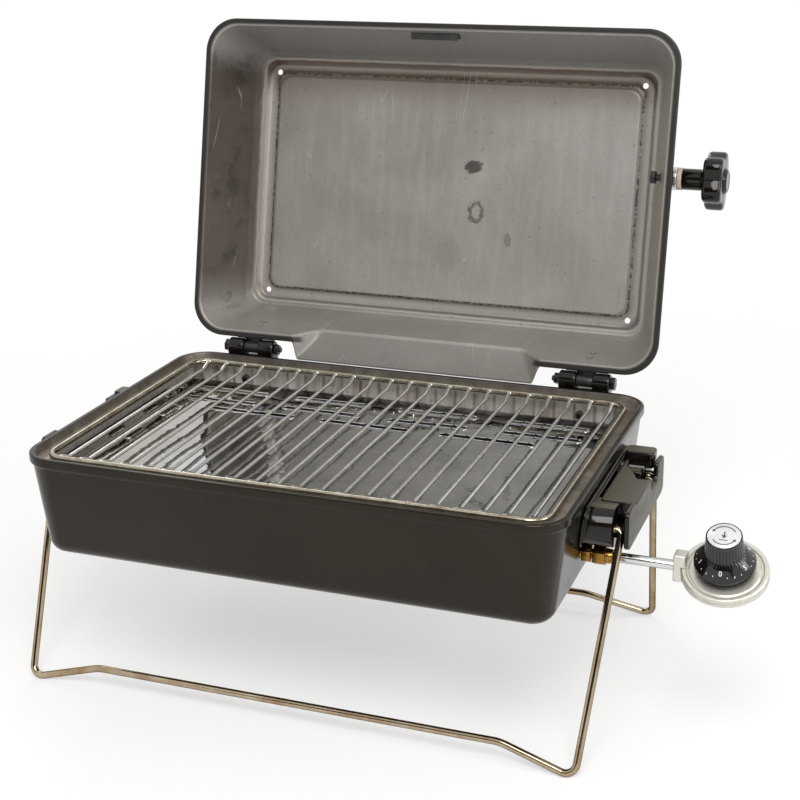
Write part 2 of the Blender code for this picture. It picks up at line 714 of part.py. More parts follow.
def lid_catch(parent):
    # short clip inside the middle of the lid's front wall
    def inner(z):
        return -(lid_wall(RIM_WIDTH / 2, z) - LID_SHEET * 1.1 - GAP)
    low, high, sheet = LID_SEAT + 5 * MM, LID_SEAT + 14 * MM, 1.2 * MM
    outline = [(inner(low), low), (inner(high), high), (inner(high) + sheet, high),
               (inner(low) + sheet, low + sheet), (inner(low) + 6 * MM, low + sheet),
               (inner(low) + 6 * MM, low)]
    clip = slab(outline, -23 * MM, 23 * MM, "YZ")
    return finished(clip, "lid_catch", "dark_steel", parent, hinge_place())


def lid_knob_stack(parent):
    pin = hinge_place()
    wall_x = lid_wall(RIM_LENGTH / 2, KNOB_Z)
    spacer_end = SPACER_END_X
    washer_end = spacer_end + GAP + KNOB_WASHER
    stem_end = STEM_END_X
    tip = STAR_END_X
    bore_radius = STUD_RADIUS + FIT

    # spacer: its inner end is cut to the slope of the lid's wall
    spacer = cylinder(10.5 * MM, (wall_x + GAP, KNOB_Y, KNOB_Z), (spacer_end, KNOB_Y, KNOB_Z), FINE_ROUND)
    for vertex in spacer.data.vertices:
        if vertex.co.x < wall_x + 2 * MM:
            vertex.co.x -= LID_DRAFT * (vertex.co.z - KNOB_Z)
    bore = cylinder(bore_radius, (wall_x - 8 * MM, KNOB_Y, KNOB_Z), (spacer_end + 5 * MM, KNOB_Y, KNOB_Z))
    finished(cut(spacer, bore), "lid_knob_spacer", "zinc", parent, pin)

    washer = cylinder(10.0 * MM, (spacer_end + GAP, KNOB_Y, KNOB_Z), (washer_end, KNOB_Y, KNOB_Z), FINE_ROUND)
    bore = cylinder(bore_radius, (spacer_end - 5 * MM, KNOB_Y, KNOB_Z), (washer_end + 5 * MM, KNOB_Y, KNOB_Z))
    finished(cut(washer, bore), "lid_knob_washer", "fibre", parent, pin)

    # star knob with its stem, blind bored for the stud
    outline = []
    for k in range(STAR_LOBES * LOBE_STEPS):
        angle = 2 * math.pi * k / (STAR_LOBES * LOBE_STEPS)
        lobe = 0.5 + 0.5 * math.cos(STAR_LOBES * angle)
        radius = STAR_RADIUS * (0.80 + 0.20 * lobe ** 0.7)
        outline.append((KNOB_Y + radius * math.sin(angle), KNOB_Z + radius * math.cos(angle)))
    star = slab(outline, stem_end, tip - 3 * MM, "YZ")
    # rounded rim: the end rings are drawn in towards the middle
    bm = bmesh.new()
    bm.from_mesh(star.data)
    rim = [e for e in bm.edges if abs(e.calc_face_angle(0) - math.pi / 2) < 0.2
           and abs(e.verts[0].co.x - e.verts[1].co.x) < 0.1 * MM]
    bmesh.ops.bevel(bm, geom=rim, offset=3.0 * MM, segments=2, affect="EDGES", profile=0.6)
    bm.to_mesh(star.data)
    bm.free()
    stem = cylinder(9.6 * MM, (washer_end + GAP, KNOB_Y, KNOB_Z), (stem_end + 4 * MM, KNOB_Y, KNOB_Z), FINE_ROUND)
    cap = cylinder(13 * MM, (tip - 6 * MM, KNOB_Y, KNOB_Z), (tip, KNOB_Y, KNOB_Z), FINE_ROUND, 10 * MM)
    knob = united(star, stem, cap)
    bore = cylinder(bore_radius, (washer_end - 5 * MM, KNOB_Y, KNOB_Z), (stem_end + 6 * MM, KNOB_Y, KNOB_Z))
    finished(cut(knob, bore), "lid_knob", "black_plastic", parent, pin)

    stud = cylinder(STUD_RADIUS, (wall_x - 5 * MM, KNOB_Y, KNOB_Z), (stem_end + 5 * MM, KNOB_Y, KNOB_Z))
    head_x = wall_x - 6.2 * MM
    head = cylinder(6.5 * MM, (head_x - 3 * MM, KNOB_Y, KNOB_Z), (head_x + 1.6 * MM, KNOB_Y, KNOB_Z), 6)
    finished(united(stud, head), "lid_knob_bolt", "zinc", parent, pin)


# ---- side handles and legs ----

HANDLE_SCREW_END = RIM_LENGTH / 2 + 9 * MM


def handle_screw_places():
    return [(hand * (PIVOT_Y - 14 * MM), -PIVOT_DROP - 3 * MM) for hand in (-1, 1)]


def handle_seat(z):
    return wall_outer(RIM_LENGTH / 2, z) + GAP


def leaned(item, level, limit=1.0):
    # shears what lies inside a limit so that it follows the wall's draft
    for vertex in item.data.vertices:
        if vertex.co.x < limit:
            vertex.co.x += WALL_DRAFT * (vertex.co.z - level)
    return item


def side_handle(side, name, parent):
    # moulding with a wall plate, two pivot bosses, a grip and an outer flange over the leg wires;
    # built for +X, mirrored for the other side
    plate = slab(rounded_rectangle(PIVOT_Y + 20 * MM, PLATE_HALF, 12 * MM, 3, (0, PLATE_MIDDLE)),
                 handle_seat(PLATE_MIDDLE), handle_seat(PLATE_MIDDLE) + HANDLE_PLATE, "YZ")
    leaned(plate, PLATE_MIDDLE)
    inside = handle_seat(-PIVOT_DROP) + 1.0 * MM
    pieces = []
    for y in (-PIVOT_Y, PIVOT_Y):
        boss = cylinder(BOSS_RADIUS, (inside, y, -PIVOT_DROP), (BOSS_END_X, y, -PIVOT_DROP), ROUND)
        pieces.append(leaned(boss, -PIVOT_DROP, inside + 2 * MM))
    pieces.append(block((GRIP_INNER_X, 15 * MM - PIVOT_Y, -44 * MM),
                        (HANDLE_OUTER_X, PIVOT_Y - 22 * MM, HANDLE_TOP), 2.2 * MM))
    for hand in (-1, 1):
        low, high = sorted((hand * (PIVOT_Y - 24 * MM), hand * (PIVOT_Y - 2 * MM)))
        cheek = block((inside - STEP, low, -46 * MM),
                      (BOSS_END_X - STEP, high, HANDLE_TOP - 1.2 * MM), 1.2 * MM)
        pieces.append(leaned(cheek, -PIVOT_DROP, inside + 2 * MM))
    flange = slab(rounded_rectangle(PIVOT_Y + 8 * MM, 15 * MM, 8 * MM, 3,
                                    (-3 * MM, HANDLE_TOP - 15 * MM - STEP)),
                  FLANGE_INNER_X, HANDLE_OUTER_X - STEP, "YZ")
    pieces.append(flange)
    pieces.append(block((GRIP_INNER_X - 2 * MM, PIVOT_Y - 23 * MM, HANDLE_TOP - 6 * MM),
                        (HANDLE_OUTER_X - 2 * STEP, PIVOT_Y + 3 * MM, HANDLE_TOP + 8 * MM), 1.8 * MM))
    for hand in (-1, 1):
        pieces.append(leg_stop(hand))
    body = united(plate, *pieces)
    before = inside - 15 * MM
    bores = [cylinder(LEG_RADIUS + FIT, (before, y, -PIVOT_DROP),
                      (BOSS_END_X + 0.5 * MM, y, -PIVOT_DROP)) for y in (-PIVOT_Y, PIVOT_Y)]
    for y, z in handle_screw_places():
        bores.append(cylinder(SCREW_HOLE, (before, y, z), (HANDLE_SCREW_END + 1 * MM, y, z), SMALL_ROUND))
    body = cut(body, *bores)
    if side < 0:
        body.data.transform(Matrix.Scale(-1, 4, (1, 0, 0)))
        body.data.flip_normals()
    return finished(body, name, "black_plastic", parent)


def leg_stop(hand):
    # web on the rear side of each leg's wire, between the boss and the flange
    lean = hand * (FOOT_Y - PIVOT_Y) / (STAND_HEIGHT - LEG_RADIUS - PIVOT_DROP)
    offset = (LEG_RADIUS + 1.5 * GAP) * math.hypot(1, lean)
    high = -PIVOT_DROP + (3 * MM if hand > 0 else -1.5 * MM)
    low = -PIVOT_DROP - 7 * MM

    def face(z):
        return hand * PIVOT_Y + lean * (-PIVOT_DROP - z) + offset
    wedge = [(face(high), high), (face(high) + 2.6 * MM, high), (face(low) + 2.6 * MM, low), (face(low), low)]
    return slab(wedge, BOSS_END_X - 1.5 * MM, FLANGE_INNER_X + 1.5 * MM, "YZ")


def handle_screw(side, y, z, name, parent):
    # driven from inside the firebox into the moulding
    inner = wall_inner(RIM_LENGTH / 2, z) - GAP - 0.6 * MM
    shank = cylinder(SCREW_RADIUS, (side * (inner - 1 * MM), y, z), (side * HANDLE_SCREW_END, y, z),
                     SMALL_ROUND)
    head = cylinder(3.0 * MM, (side * (inner - 2.4 * MM), y, z), (side * inner, y, z), ROUND, SCREW_HEAD)
    return finished(united(shank, head), name, "zinc", parent)


def leg_bends(hand, foot_z):
    # bent wire: in through the boss, down the arm, out to the foot, over the raised crossbar
    end_x = wall_inner(RIM_LENGTH / 2, -PIVOT_DROP) - 7 * MM
    arm = Vector((0, FOOT_Y - PIVOT_Y, foot_z + PIVOT_DROP)).normalized()
    raised_y = FOOT_Y - arm.y * FOOT_RISE
    raised_z = foot_z - arm.z * FOOT_RISE
    half = [(end_x, hand * PIVOT_Y, -PIVOT_DROP), (LEG_TOP_X, hand * PIVOT_Y, -PIVOT_DROP),
            (FOOT_X, hand * FOOT_Y, foot_z), (FOOT_X - FOOT_RUN, hand * raised_y, raised_z)]
    left = [(-x, y, z) for x, y, z in half]
    radii = [0, 4 * MM, 9 * MM, 40 * MM]
    return rounded_path(left + half[::-1], radii + radii[::-1], 3)


def leg_route(front):
    # the foot's corner is lowered until its bend, which cuts the corner, reaches the ground line
    ground = -STAND_HEIGHT + LEG_RADIUS
    foot_z = ground
    for _ in range(3):
        route = leg_bends(-1 if front else 1, foot_z)
        foot_z -= min(point[2] for point in route) - ground
    return route


def leg(front, name, parent):
    hand = -1 if front else 1
    place = Vector((0, hand * PIVOT_Y, -PIVOT_DROP))
    return finished(wire(leg_route(front), LEG_RADIUS), name, "gold_zinc", parent, place)


def leg_retainer(front, side, name, parent):
    # push-on disc on the wire's end, inside the firebox
    hand = -1 if front else 1
    y = hand * PIVOT_Y
    inner = wall_inner(RIM_LENGTH / 2, -PIVOT_DROP) - 1.4 * MM
    disc = ring_nut(RETAINER_RADIUS, LEG_RADIUS, (side * inner, y, -PIVOT_DROP),
                    (side * (inner - 1.6 * MM), y, -PIVOT_DROP), ROUND)
    return finished(disc, name, "zinc", parent, Vector((0, y, -PIVOT_DROP)))


# ---- grate, heat plate and burner ----

def grate_z():
    return -LEDGE_DROP + SHEET / 2 + GAP + GRATE_ROD


def cooking_grate(parent):
    # round frame rod with kinked cross wires welded to it
    z = grate_z()
    half_x = RIM_LENGTH / 2 - GRATE_INSET
    half_y = RIM_WIDTH / 2 - GRATE_INSET
    corner = rounded_rectangle(half_x, half_y, 16 * MM)
    frame = wire([(x, y, z) for x, y in corner], GRATE_ROD, True)
    low = z - GRATE_DIP
    end_y, step_y, foot_y = (half_y - inset for inset in GRATE_KINK)
    wires = []
    for x in spread(half_x - GRATE_END, GRATE_PITCH):
        route = [(x, -end_y, z), (x, -step_y, z), (x, -foot_y, low),
                 (x, foot_y, low), (x, step_y, z), (x, end_y, z)]
        wires.append(wire(route, GRATE_WIRE, resolution=0))
    grate = united(frame, combined("wires", wires))
    return finished(grate, "cooking_grate", "chrome", parent, Vector((0, 0, z)))


SLOT_WIDTH = 5 * MM
SLOT_LENGTH = 76 * MM          # two rear rows, either side of a pressed rib
SLOT_PITCH = 103 * MM
SLOT_END = 17 * MM             # last slot in from the plate's right end
SLOT_ROWS = (23 * MM, 50.5 * MM)       # in from the plate's rear edge
LONG_SLOT_LENGTH = 88 * MM
LONG_SLOT_PITCH = 113 * MM
LONG_SLOT_END = 52 * MM
LONG_SLOT_ROW = 71.5 * MM
SIDE_SLOT_LENGTH = 28 * MM     # two at the left end, along the plate's width
SIDE_SLOT_WIDTH = 6 * MM
SIDE_SLOT_INSET = 11 * MM
SIDE_SLOT_ROWS = (88.5 * MM, 150.5 * MM)


def slot_middles(half, length, pitch, end):
    # from the right end to the left, as many as fit as far in at the left
    places = []
    x = half - end - length / 2
    while x - length / 2 > -half + 0.3 * end:
        places.append(x)
        x -= pitch
    return places


def heat_plate(parent):
    # tray with upturned ends and down-turned front and rear, pierced by long slots
    hx = RIM_LENGTH / 2 - HEAT_PLATE_INSET
    hy = RIM_WIDTH / 2 - HEAT_PLATE_INSET
    z = HEAT_PLATE_Z
    half = HEAT_SHEET / 2
    deck = block((-hx, -hy, z - half), (hx, hy, z + half))
    walls = []
    for side in (-1, 1):
        low, high = sorted((side * hx, side * (hx - HEAT_SHEET)))
        walls.append(block((low, -hy + 6 * MM, z), (high, hy - 6 * MM, z + HEAT_FLANGE)))
        low, high = sorted((side * hy, side * (hy - HEAT_SHEET)))
        walls.append(block((-hx + 14 * MM, low, z - 5 * MM), (hx - 14 * MM, high, z)))
    tray = united(deck, *walls)
    slots = []
    rows = [(SLOT_LENGTH, SLOT_PITCH, SLOT_END, row) for row in SLOT_ROWS]
    rows.append((LONG_SLOT_LENGTH, LONG_SLOT_PITCH, LONG_SLOT_END, LONG_SLOT_ROW))
    for length, pitch, end, row in rows:
        for x in slot_middles(hx, length, pitch, end):
            slots.append(slab(stadium(length, SLOT_WIDTH, (x, hy - row)), z - 4 * MM, z + 4 * MM))
    for row in SIDE_SLOT_ROWS:
        across = stadium(SIDE_SLOT_LENGTH, SIDE_SLOT_WIDTH, (hy - row, SIDE_SLOT_INSET - hx))
        slots.append(slab([(x, y) for y, x in across], z - 4 * MM, z + 4 * MM))
    tray = cut(tray, combined("slots", slots))
    return finished(tray, "heat_plate", "bright_steel", parent, Vector((0, 0, z)))


def plate_support(side, name, parent):
    # angle welded inside the end wall, under the heat plate's edge
    top = HEAT_PLATE_Z - HEAT_SHEET / 2 - GAP
    low = top - 7.5 * MM
    sheet = 1.2 * MM
    high_x = wall_inner(RIM_LENGTH / 2, top) - GAP
    low_x = wall_inner(RIM_LENGTH / 2, low) - GAP
    tip = RIM_LENGTH / 2 - HEAT_PLATE_INSET - 6 * MM
    outline = [(high_x, top), (tip, top), (tip, top - sheet), (high_x - sheet, top - sheet),
               (low_x - sheet, low), (low_x, low)]
    reach = RIM_WIDTH / 2 - HEAT_PLATE_INSET - 35 * MM
    angle = slab([(side * x, z) for x, z in outline], -reach, reach, "YZ")
    angle.data.transform(Matrix.Rotation(-math.pi / 2, 4, "Z"))
    return finished(angle, name, "dark_steel", parent)


BRACKET_STATION = 60 * MM
SEAM = GAP / 2


def burner_tray(rise, sign):
    # half of the burner: a seam flange round a shallow pan
    rim = 5 * MM
    section = [(0.0, 0.0), (rim, 0.0), (rim + 1.5 * MM, 1.5 * MM),
               (rim + 5 * MM, rise - 2.5 * MM), (rim + 7.5 * MM, rise)]
    level = -INLET_DROP + sign * (BURNER_SHEET / 2 + SEAM)
    rings = []
    for inset, height in section:
        outline = rounded_rectangle(BURNER_HALF_X - inset, BURNER_HALF_Y - inset,
                                    max(26 * MM - inset, 6 * MM), CORNER_STEPS, (BURNER_X, 0))
        rings.append([(x, y, level + sign * height) for x, y in outline])
    tray = loft(rings, BURNER_SHEET)
    mouth_x = BURNER_X + BURNER_HALF_X
    mouth = cylinder(VENTURI_RADIUS + FIT, (mouth_x - 22 * MM, 0, -INLET_DROP),
                     (mouth_x + 10 * MM, 0, -INLET_DROP))
    return cut(tray, mouth)


def burner_cover(parent):
    ports = []
    for offset in spread(BURNER_HALF_X - PORT_END, PORT_PITCH):
        x = BURNER_X - 12 * MM + offset
        for y in (-16 * MM, 16 * MM):
            ports.append(cylinder(1.6 * MM, (x, y, -INLET_DROP + 5 * MM),
                                  (x, y, -INLET_DROP + BURNER_RISE + 5 * MM), 6))
    return finished(cut(burner_tray(BURNER_RISE, 1), combined("ports", ports)),
                    "burner_cover", "burner_steel", parent)


def burner_pan(parent):
    pan = burner_tray(BURNER_FALL, -1)
    x = BURNER_X - BRACKET_STATION
    low = -INLET_DROP - BURNER_FALL - 3 * MM
    hole = cylinder(SCREW_HOLE, (x, 0, low), (x, 0, low + 6 * MM), SMALL_ROUND)
    return finished(cut(pan, hole), "burner_pan", "burner_steel", parent)


def pan_underside():
    return -INLET_DROP - SEAM - BURNER_SHEET - BURNER_FALL


def venturi_tube(parent):
    # from the jet at the wall, across to the middle of the burner's end
    end_x = BURNER_X + BURNER_HALF_X
    start_x = wall_inner(RIM_LENGTH / 2, -INLET_DROP) - 16 * MM
    bend_x = start_x - 24 * MM
    route = rounded_path([(start_x, INLET_Y, -INLET_DROP), (bend_x, INLET_Y, -INLET_DROP),
                          (end_x + 16 * MM, 0, -INLET_DROP), (end_x - 20 * MM, 0, -INLET_DROP)],
                         22 * MM, 4)
    outer = wire(route, VENTURI_RADIUS)
    along = (route[0] - route[1]).normalized() * 2 * MM
    away = (route[-1] - route[-2]).normalized() * 2 * MM
    inner = wire([route[0] + along] + route[1:-1] + [route[-1] + away],
                 VENTURI_RADIUS - 1.1 * MM)
    return finished(cut(outer, inner), "venturi_tube", "burner_steel", parent)


def burner_bracket(parent):
    # bent strap that stands the burner on the firebox floor
    low = -BOX_DEPTH + SHEET + GAP
    high = pan_underside() - GAP
    sheet = 1.5 * MM
    foot, head = 13 * MM, 9 * MM
    outline = [(foot, low), (-foot, low), (-foot, low + sheet), (-head, low + sheet), (-head, high),
               (head, high), (head, high - sheet), (-head + sheet, high - sheet),
               (-head + sheet, low + sheet), (foot, low + sheet)]
    x = BURNER_X - BRACKET_STATION
    strap = slab(outline, x - 9 * MM, x + 9 * MM, "YZ")
    hole = cylinder(SCREW_HOLE, (x, 0, low - 3 * MM), (x, 0, high + 3 * MM), SMALL_ROUND)
    return finished(cut(strap, hole), "burner_bracket", "dark_steel", parent)


def burner_screw(parent):
    # head under the firebox floor, nut inside the burner pan
    x = BURNER_X - BRACKET_STATION
    floor = -BOX_DEPTH - GAP
    top = pan_underside() + BURNER_SHEET + 5 * MM
    shank = cylinder(SCREW_RADIUS, (x, 0, floor - 1 * MM), (x, 0, top), SMALL_ROUND)
    head = cylinder(3.0 * MM, (x, 0, floor - 2.4 * MM), (x, 0, floor), ROUND, SCREW_HEAD)
    return finished(united(shank, head), "burner_screw", "zinc", parent)


def burner_nut(parent):
    x = BURNER_X - BRACKET_STATION
    face = pan_underside() + BURNER_SHEET + GAP
    nut = ring_nut(SCREW_HEAD, SCREW_RADIUS, (x, 0, face), (x, 0, face + 3.2 * MM))
    return finished(nut, "burner_nut", "zinc", parent)


# ---- gas line ----

def line_point(x):
    return (x, INLET_Y, -INLET_DROP)


def fitting_face():
    # where the brass hexagon meets the sloping wall
    return wall_outer(RIM_LENGTH / 2, -INLET_DROP) + WALL_DRAFT * HEX_ONE + GAP


FITTING_HEX = 7.5 * MM
FITTING_NECK = 1.6 * MM
TUBE_NUT_HEX = 10 * MM
TUBE_NUT_COLLAR = 6 * MM


def orifice_fitting(parent):
    face = fitting_face()
    inner = wall_inner(RIM_LENGTH / 2, -INLET_DROP)
    body = hexagon(HEX_ONE, line_point(face), line_point(face + FITTING_HEX))
    thread = cylinder(BRASS_THREAD, line_point(inner - 8 * MM), line_point(face + 1 * MM))
    jet = cylinder(2.0 * MM, line_point(inner - 15 * MM), line_point(inner - 7 * MM), ROUND, 3.4 * MM)
    nose = cylinder(TUBE_RADIUS, line_point(face + FITTING_HEX - 1 * MM),
                    line_point(face + FITTING_HEX + FITTING_NECK + 2 * MM))
    return finished(united(body, thread, jet, nose), "orifice_fitting", "brass", parent)


def fitting_locknut(parent):
    face = wall_inner(RIM_LENGTH / 2, -INLET_DROP) - WALL_DRAFT * 8.5 * MM - GAP
    nut = ring_nut(8.5 * MM, BRASS_THREAD, line_point(face), line_point(face - 3.6 * MM))
    return finished(nut, "fitting_locknut", "brass", parent)


def tube_nut(parent):
    start = fitting_face() + FITTING_HEX + FITTING_NECK
    mid = start + TUBE_NUT_HEX
    nut = united(hexagon(HEX_TWO, line_point(start), line_point(mid)),
                 cylinder(6.2 * MM, line_point(mid - 1 * MM), line_point(mid + TUBE_NUT_COLLAR), ROUND,
                          5.6 * MM))
    bore = cylinder(TUBE_RADIUS + FIT, line_point(start - 2 * MM),
                    line_point(mid + TUBE_NUT_COLLAR + 2 * MM))
    return finished(cut(nut, bore), "tube_nut", "brass", parent)


def gas_tube(parent):
    start = fitting_face() + FITTING_HEX + FITTING_NECK + 2 * MM + GAP
    tube = cylinder(TUBE_RADIUS, line_point(start), line_point(TUBE_END_X))
    return finished(tube, "gas_tube", "zinc", parent)


def regulator_place():
    # middle of the regulator's face, set so that the gas line meets the crimped edge
    return Vector((REGULATOR_X, INLET_Y - (FLANGE_HALF + SEAM) * math.sin(REGULATOR_TILT),
                   -INLET_DROP + (FLANGE_HALF + SEAM) * math.cos(REGULATOR_TILT)))


def regulator_inlet(parent):
    # square boss that takes the tube and grips the regulator's edge
    low_x = TUBE_END_X - 4 * MM
    boss = block((low_x, INLET_Y - 7 * MM, -INLET_DROP - 11 * MM),
                 (REGULATOR_X - REGULATOR_RADIUS + 4 * MM, INLET_Y + 7 * MM, -INLET_DROP + 11 * MM), 1.5 * MM)
    bore = cylinder(TUBE_RADIUS + FIT, line_point(low_x - 4 * MM), line_point(TUBE_END_X + GAP))
    thick = 2 * (FLANGE_HALF + SEAM)
    edge = cylinder(REGULATOR_RADIUS + GAP, (0, 0, -thick - 1.5 * MM), (0, 0, GAP), 48)
    place = Matrix.Translation(regulator_place()) @ Matrix.Rotation(REGULATOR_TILT, 4, "X")
    edge.data.transform(place)
    return finished(cut(boss, bore, edge), "regulator_inlet", "die_cast", parent)


CAVITY_RADIUS = 22 * MM
COVER_CEILING = -1.6 * MM
MEMBRANE_Z = -11 * MM
MEMBRANE = 0.6 * MM


def regulator_cover(parent):
    low = -FLANGE_HALF
    profile = [(STEM_RADIUS + FIT, 1.4 * MM), (10 * MM, 1.4 * MM), (11 * MM, -0.4 * MM),
               (27.5 * MM, -0.4 * MM), (28.2 * MM, -1.4 * MM), (29 * MM, -1.4 * MM), (29.6 * MM, 0.0),
               (REGULATOR_RADIUS - 1 * MM, 0.0), (REGULATOR_RADIUS, -1 * MM), (REGULATOR_RADIUS, low),
               (CAVITY_RADIUS, low), (CAVITY_RADIUS, COVER_CEILING), (STEM_RADIUS + FIT, COVER_CEILING)]
    return finished(turned(profile), "regulator_cover", "die_cast", parent)


def regulator_body(parent):
    top = -FLANGE_HALF - 2 * SEAM
    profile = [(0, MEMBRANE_Z - 0.8 * MM), (18 * MM, MEMBRANE_Z - 0.8 * MM), (18 * MM, MEMBRANE_Z),
               (CAVITY_RADIUS, MEMBRANE_Z),
               (CAVITY_RADIUS, top), (REGULATOR_RADIUS, top), (REGULATOR_RADIUS, top - FLANGE_HALF + 1 * MM),
               (REGULATOR_RADIUS - 1 * MM, top - FLANGE_HALF), (27 * MM, top - FLANGE_HALF - 1 * MM),
               (25.5 * MM, -REGULATOR_DEPTH + 2.2 * MM), (21 * MM, -REGULATOR_DEPTH + 0.4 * MM),
               (17 * MM, -REGULATOR_DEPTH),
               (0, -REGULATOR_DEPTH)]
    return finished(turned(profile), "regulator_body", "die_cast", parent)


def regulator_membrane(parent):
    low = MEMBRANE_Z + GAP
    disc = cylinder(CAVITY_RADIUS - FIT, (0, 0, low), (0, 0, low + MEMBRANE), FINE_ROUND)
    return finished(disc, "regulator_membrane", "membrane", parent)


def cylinder_connector(parent):
    top = -REGULATOR_DEPTH - GAP
    low = top - CONNECTOR_LENGTH
    roof = top - CONNECTOR_ROOF
    profile = [(0, top), (CONNECTOR_RADIUS, top), (CONNECTOR_RADIUS, low + 1 * MM),
               (CONNECTOR_RADIUS - 1 * MM, low), (SOCKET_RADIUS, low), (SOCKET_RADIUS, roof),
               (2.5 * MM, roof), (2.5 * MM, roof - 1.4 * MM), (0, roof - 1.8 * MM)]
    return finished(turned(profile), "cylinder_connector", "die_cast", parent)


def connector_seal(parent):
    roof = -REGULATOR_DEPTH - GAP - CONNECTOR_ROOF
    profile = [(5 * MM, roof - GAP), (9 * MM, roof - GAP), (9 * MM, roof - 1.8 * MM),
               (5 * MM, roof - 1.8 * MM)]
    return finished(turned(profile, ROUND), "connector_seal", "rubber", parent)


STEM_TOP = 14 * MM
COLLAR_TOP = COVER_CEILING - GAP
COLLAR_LOW = COLLAR_TOP - 1.8 * MM


def valve_stem(parent):
    profile = [(0, STEM_TOP), (STEM_RADIUS - 0.5 * MM, STEM_TOP), (STEM_RADIUS, STEM_TOP - 0.5 * MM),
               (STEM_RADIUS, COLLAR_TOP), (6.5 * MM, COLLAR_TOP), (6.5 * MM, COLLAR_LOW),
               (2 * MM, COLLAR_LOW), (2 * MM, COLLAR_LOW - 1.6 * MM), (0, COLLAR_LOW - 1.6 * MM)]
    return finished(turned(profile, ROUND), "valve_stem", "brass", parent)


def valve_spring(parent):
    # drawn pressed, so that it clears the membrane when the stem is pushed down
    turns, per_turn, radius, coil = 2, 10, 0.35 * MM, 4.2 * MM
    high = COLLAR_LOW - GAP - radius
    low = MEMBRANE_Z + MEMBRANE + 3 * GAP + VALVE_TRAVEL + radius
    count = int(turns * per_turn)
    route = []
    for k in range(count + 1):
        angle = 2 * math.pi * k / per_turn
        route.append((coil * math.cos(angle), coil * math.sin(angle), high + (low - high) * k / count))
    return finished(wire(route, radius, resolution=1), "valve_spring", "bright_steel", parent)


def control_knob(parent):
    low = KNOB_LIFT
    top = KNOB_LIFT + KNOB_HEIGHT
    grip = 15 * MM
    profile = [(12.9 * MM, top - 0.8 * MM), (12.9 * MM, top), (13.3 * MM, top), (13.7 * MM, top - 0.6 * MM),
               (grip, low + 14.5 * MM), (KNOB_RADIUS - 0.5 * MM, low + 5.4 * MM), (KNOB_RADIUS, low + 4.8 * MM),
               (KNOB_RADIUS, low), (KNOB_RADIUS - 1.8 * MM, low), (KNOB_RADIUS - 1.8 * MM, low + 4 * MM),
               (7 * MM, low + 5 * MM), (7 * MM, low), (STEM_RADIUS + GAP, low),
               (STEM_RADIUS + GAP, STEM_TOP + GAP), (0, STEM_TOP + GAP)]
    profile = [(0, top - 0.8 * MM)] + profile
    return finished(turned(profile), "control_knob", "black_plastic", parent)


def knob_label(parent):
    low = KNOB_LIFT + KNOB_HEIGHT - 0.8 * MM + GAP
    disc = cylinder(12.9 * MM - GAP, (0, 0, low), (0, 0, low + 0.7 * MM), FINE_ROUND)
    return finished(disc, "knob_label", "label", parent)


# ---- assembly ----

def build():
    root = empty("grill", (0, 0, 0))
    firebox(root)

    lid_axis = empty("lid_axis", hinge_place(), root)
    for side, word in ((-1, "left"), (1, "right")):
        hinge_bracket(side, "hinge_bracket_" + word, root)
        hinge_bolt(side, "hinge_bolt_" + word, root)
        hinge_nut(side, "hinge_nut_" + word, root)
        bracket_screw(side, "bracket_screw_" + word, root)
        bracket_nut(side, "bracket_nut_" + word, root)
        hinge_strap(side, "hinge_strap_" + word, lid_axis)
        for (place, normal), level in zip(rivet_places(side), ("low", "high")):
            strap_rivet(place, normal, f"strap_rivet_{word}_{level}", lid_axis)
        side_handle(side, "side_handle_" + word, root)
        for (y, z), station in zip(handle_screw_places(), ("front", "rear")):
            handle_screw(side, y, z, f"handle_screw_{word}_{station}", root)
        plate_support(side, "heat_plate_support_" + word, root)
    lid(lid_axis)
    lid_catch(lid_axis)
    lid_knob_stack(lid_axis)
    lid_axis.rotation_euler = (-LID_OPEN, 0, 0)

    for front, word in ((True, "front"), (False, "rear")):
        hand = -1 if front else 1
        axis = empty(word + "_leg_axis", (0, hand * PIVOT_Y, -PIVOT_DROP), root)
        leg(front, word + "_leg", axis)
        leg_retainer(front, -1, word + "_leg_retainer_left", axis)
        leg_retainer(front, 1, word + "_leg_retainer_right", axis)

    heat_plate(empty("heat_plate_lift", (0, 0, HEAT_PLATE_Z), root))
    cooking_grate(empty("grate_lift", (0, 0, grate_z()), root))
    for make in (burner_cover, burner_pan, venturi_tube, burner_bracket, burner_screw, burner_nut,
                 orifice_fitting, fitting_locknut, tube_nut, gas_tube, regulator_inlet):
        make(root)

    regulator = empty("regulator", regulator_place(), root)
    regulator.rotation_euler = (REGULATOR_TILT, 0, 0)
    for make in (regulator_cover, regulator_body, regulator_membrane, cylinder_connector,
                 connector_seal):
        make(regulator)
    valve = empty("valve_axis", (0, 0, 0), regulator)
    for make in (valve_stem, valve_spring, control_knob, knob_label):
        make(valve)
    return root


def stand_on_origin(root):
    # moves the grill so that the middle of its box's underside is the origin
    bpy.context.view_layer.update()
    points = [item.matrix_world @ vertex.co for item in PARTS.objects if item.type == "MESH"
              for vertex in item.data.vertices]
    low = Vector(min(p[i] for p in points) for i in range(3))
    high = Vector(max(p[i] for p in points) for i in range(3))
    root.location = (-(low.x + high.x) / 2, -(low.y + high.y) / 2, -low.z)


clear_scene()
PARTS = bpy.data.collections.new("folding_camp_grill")
bpy.context.scene.collection.children.link(PARTS)
stand_on_origin(build())
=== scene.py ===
import json
import math

import bmesh
import bpy
import numpy as np
from mathutils import Matrix, Vector


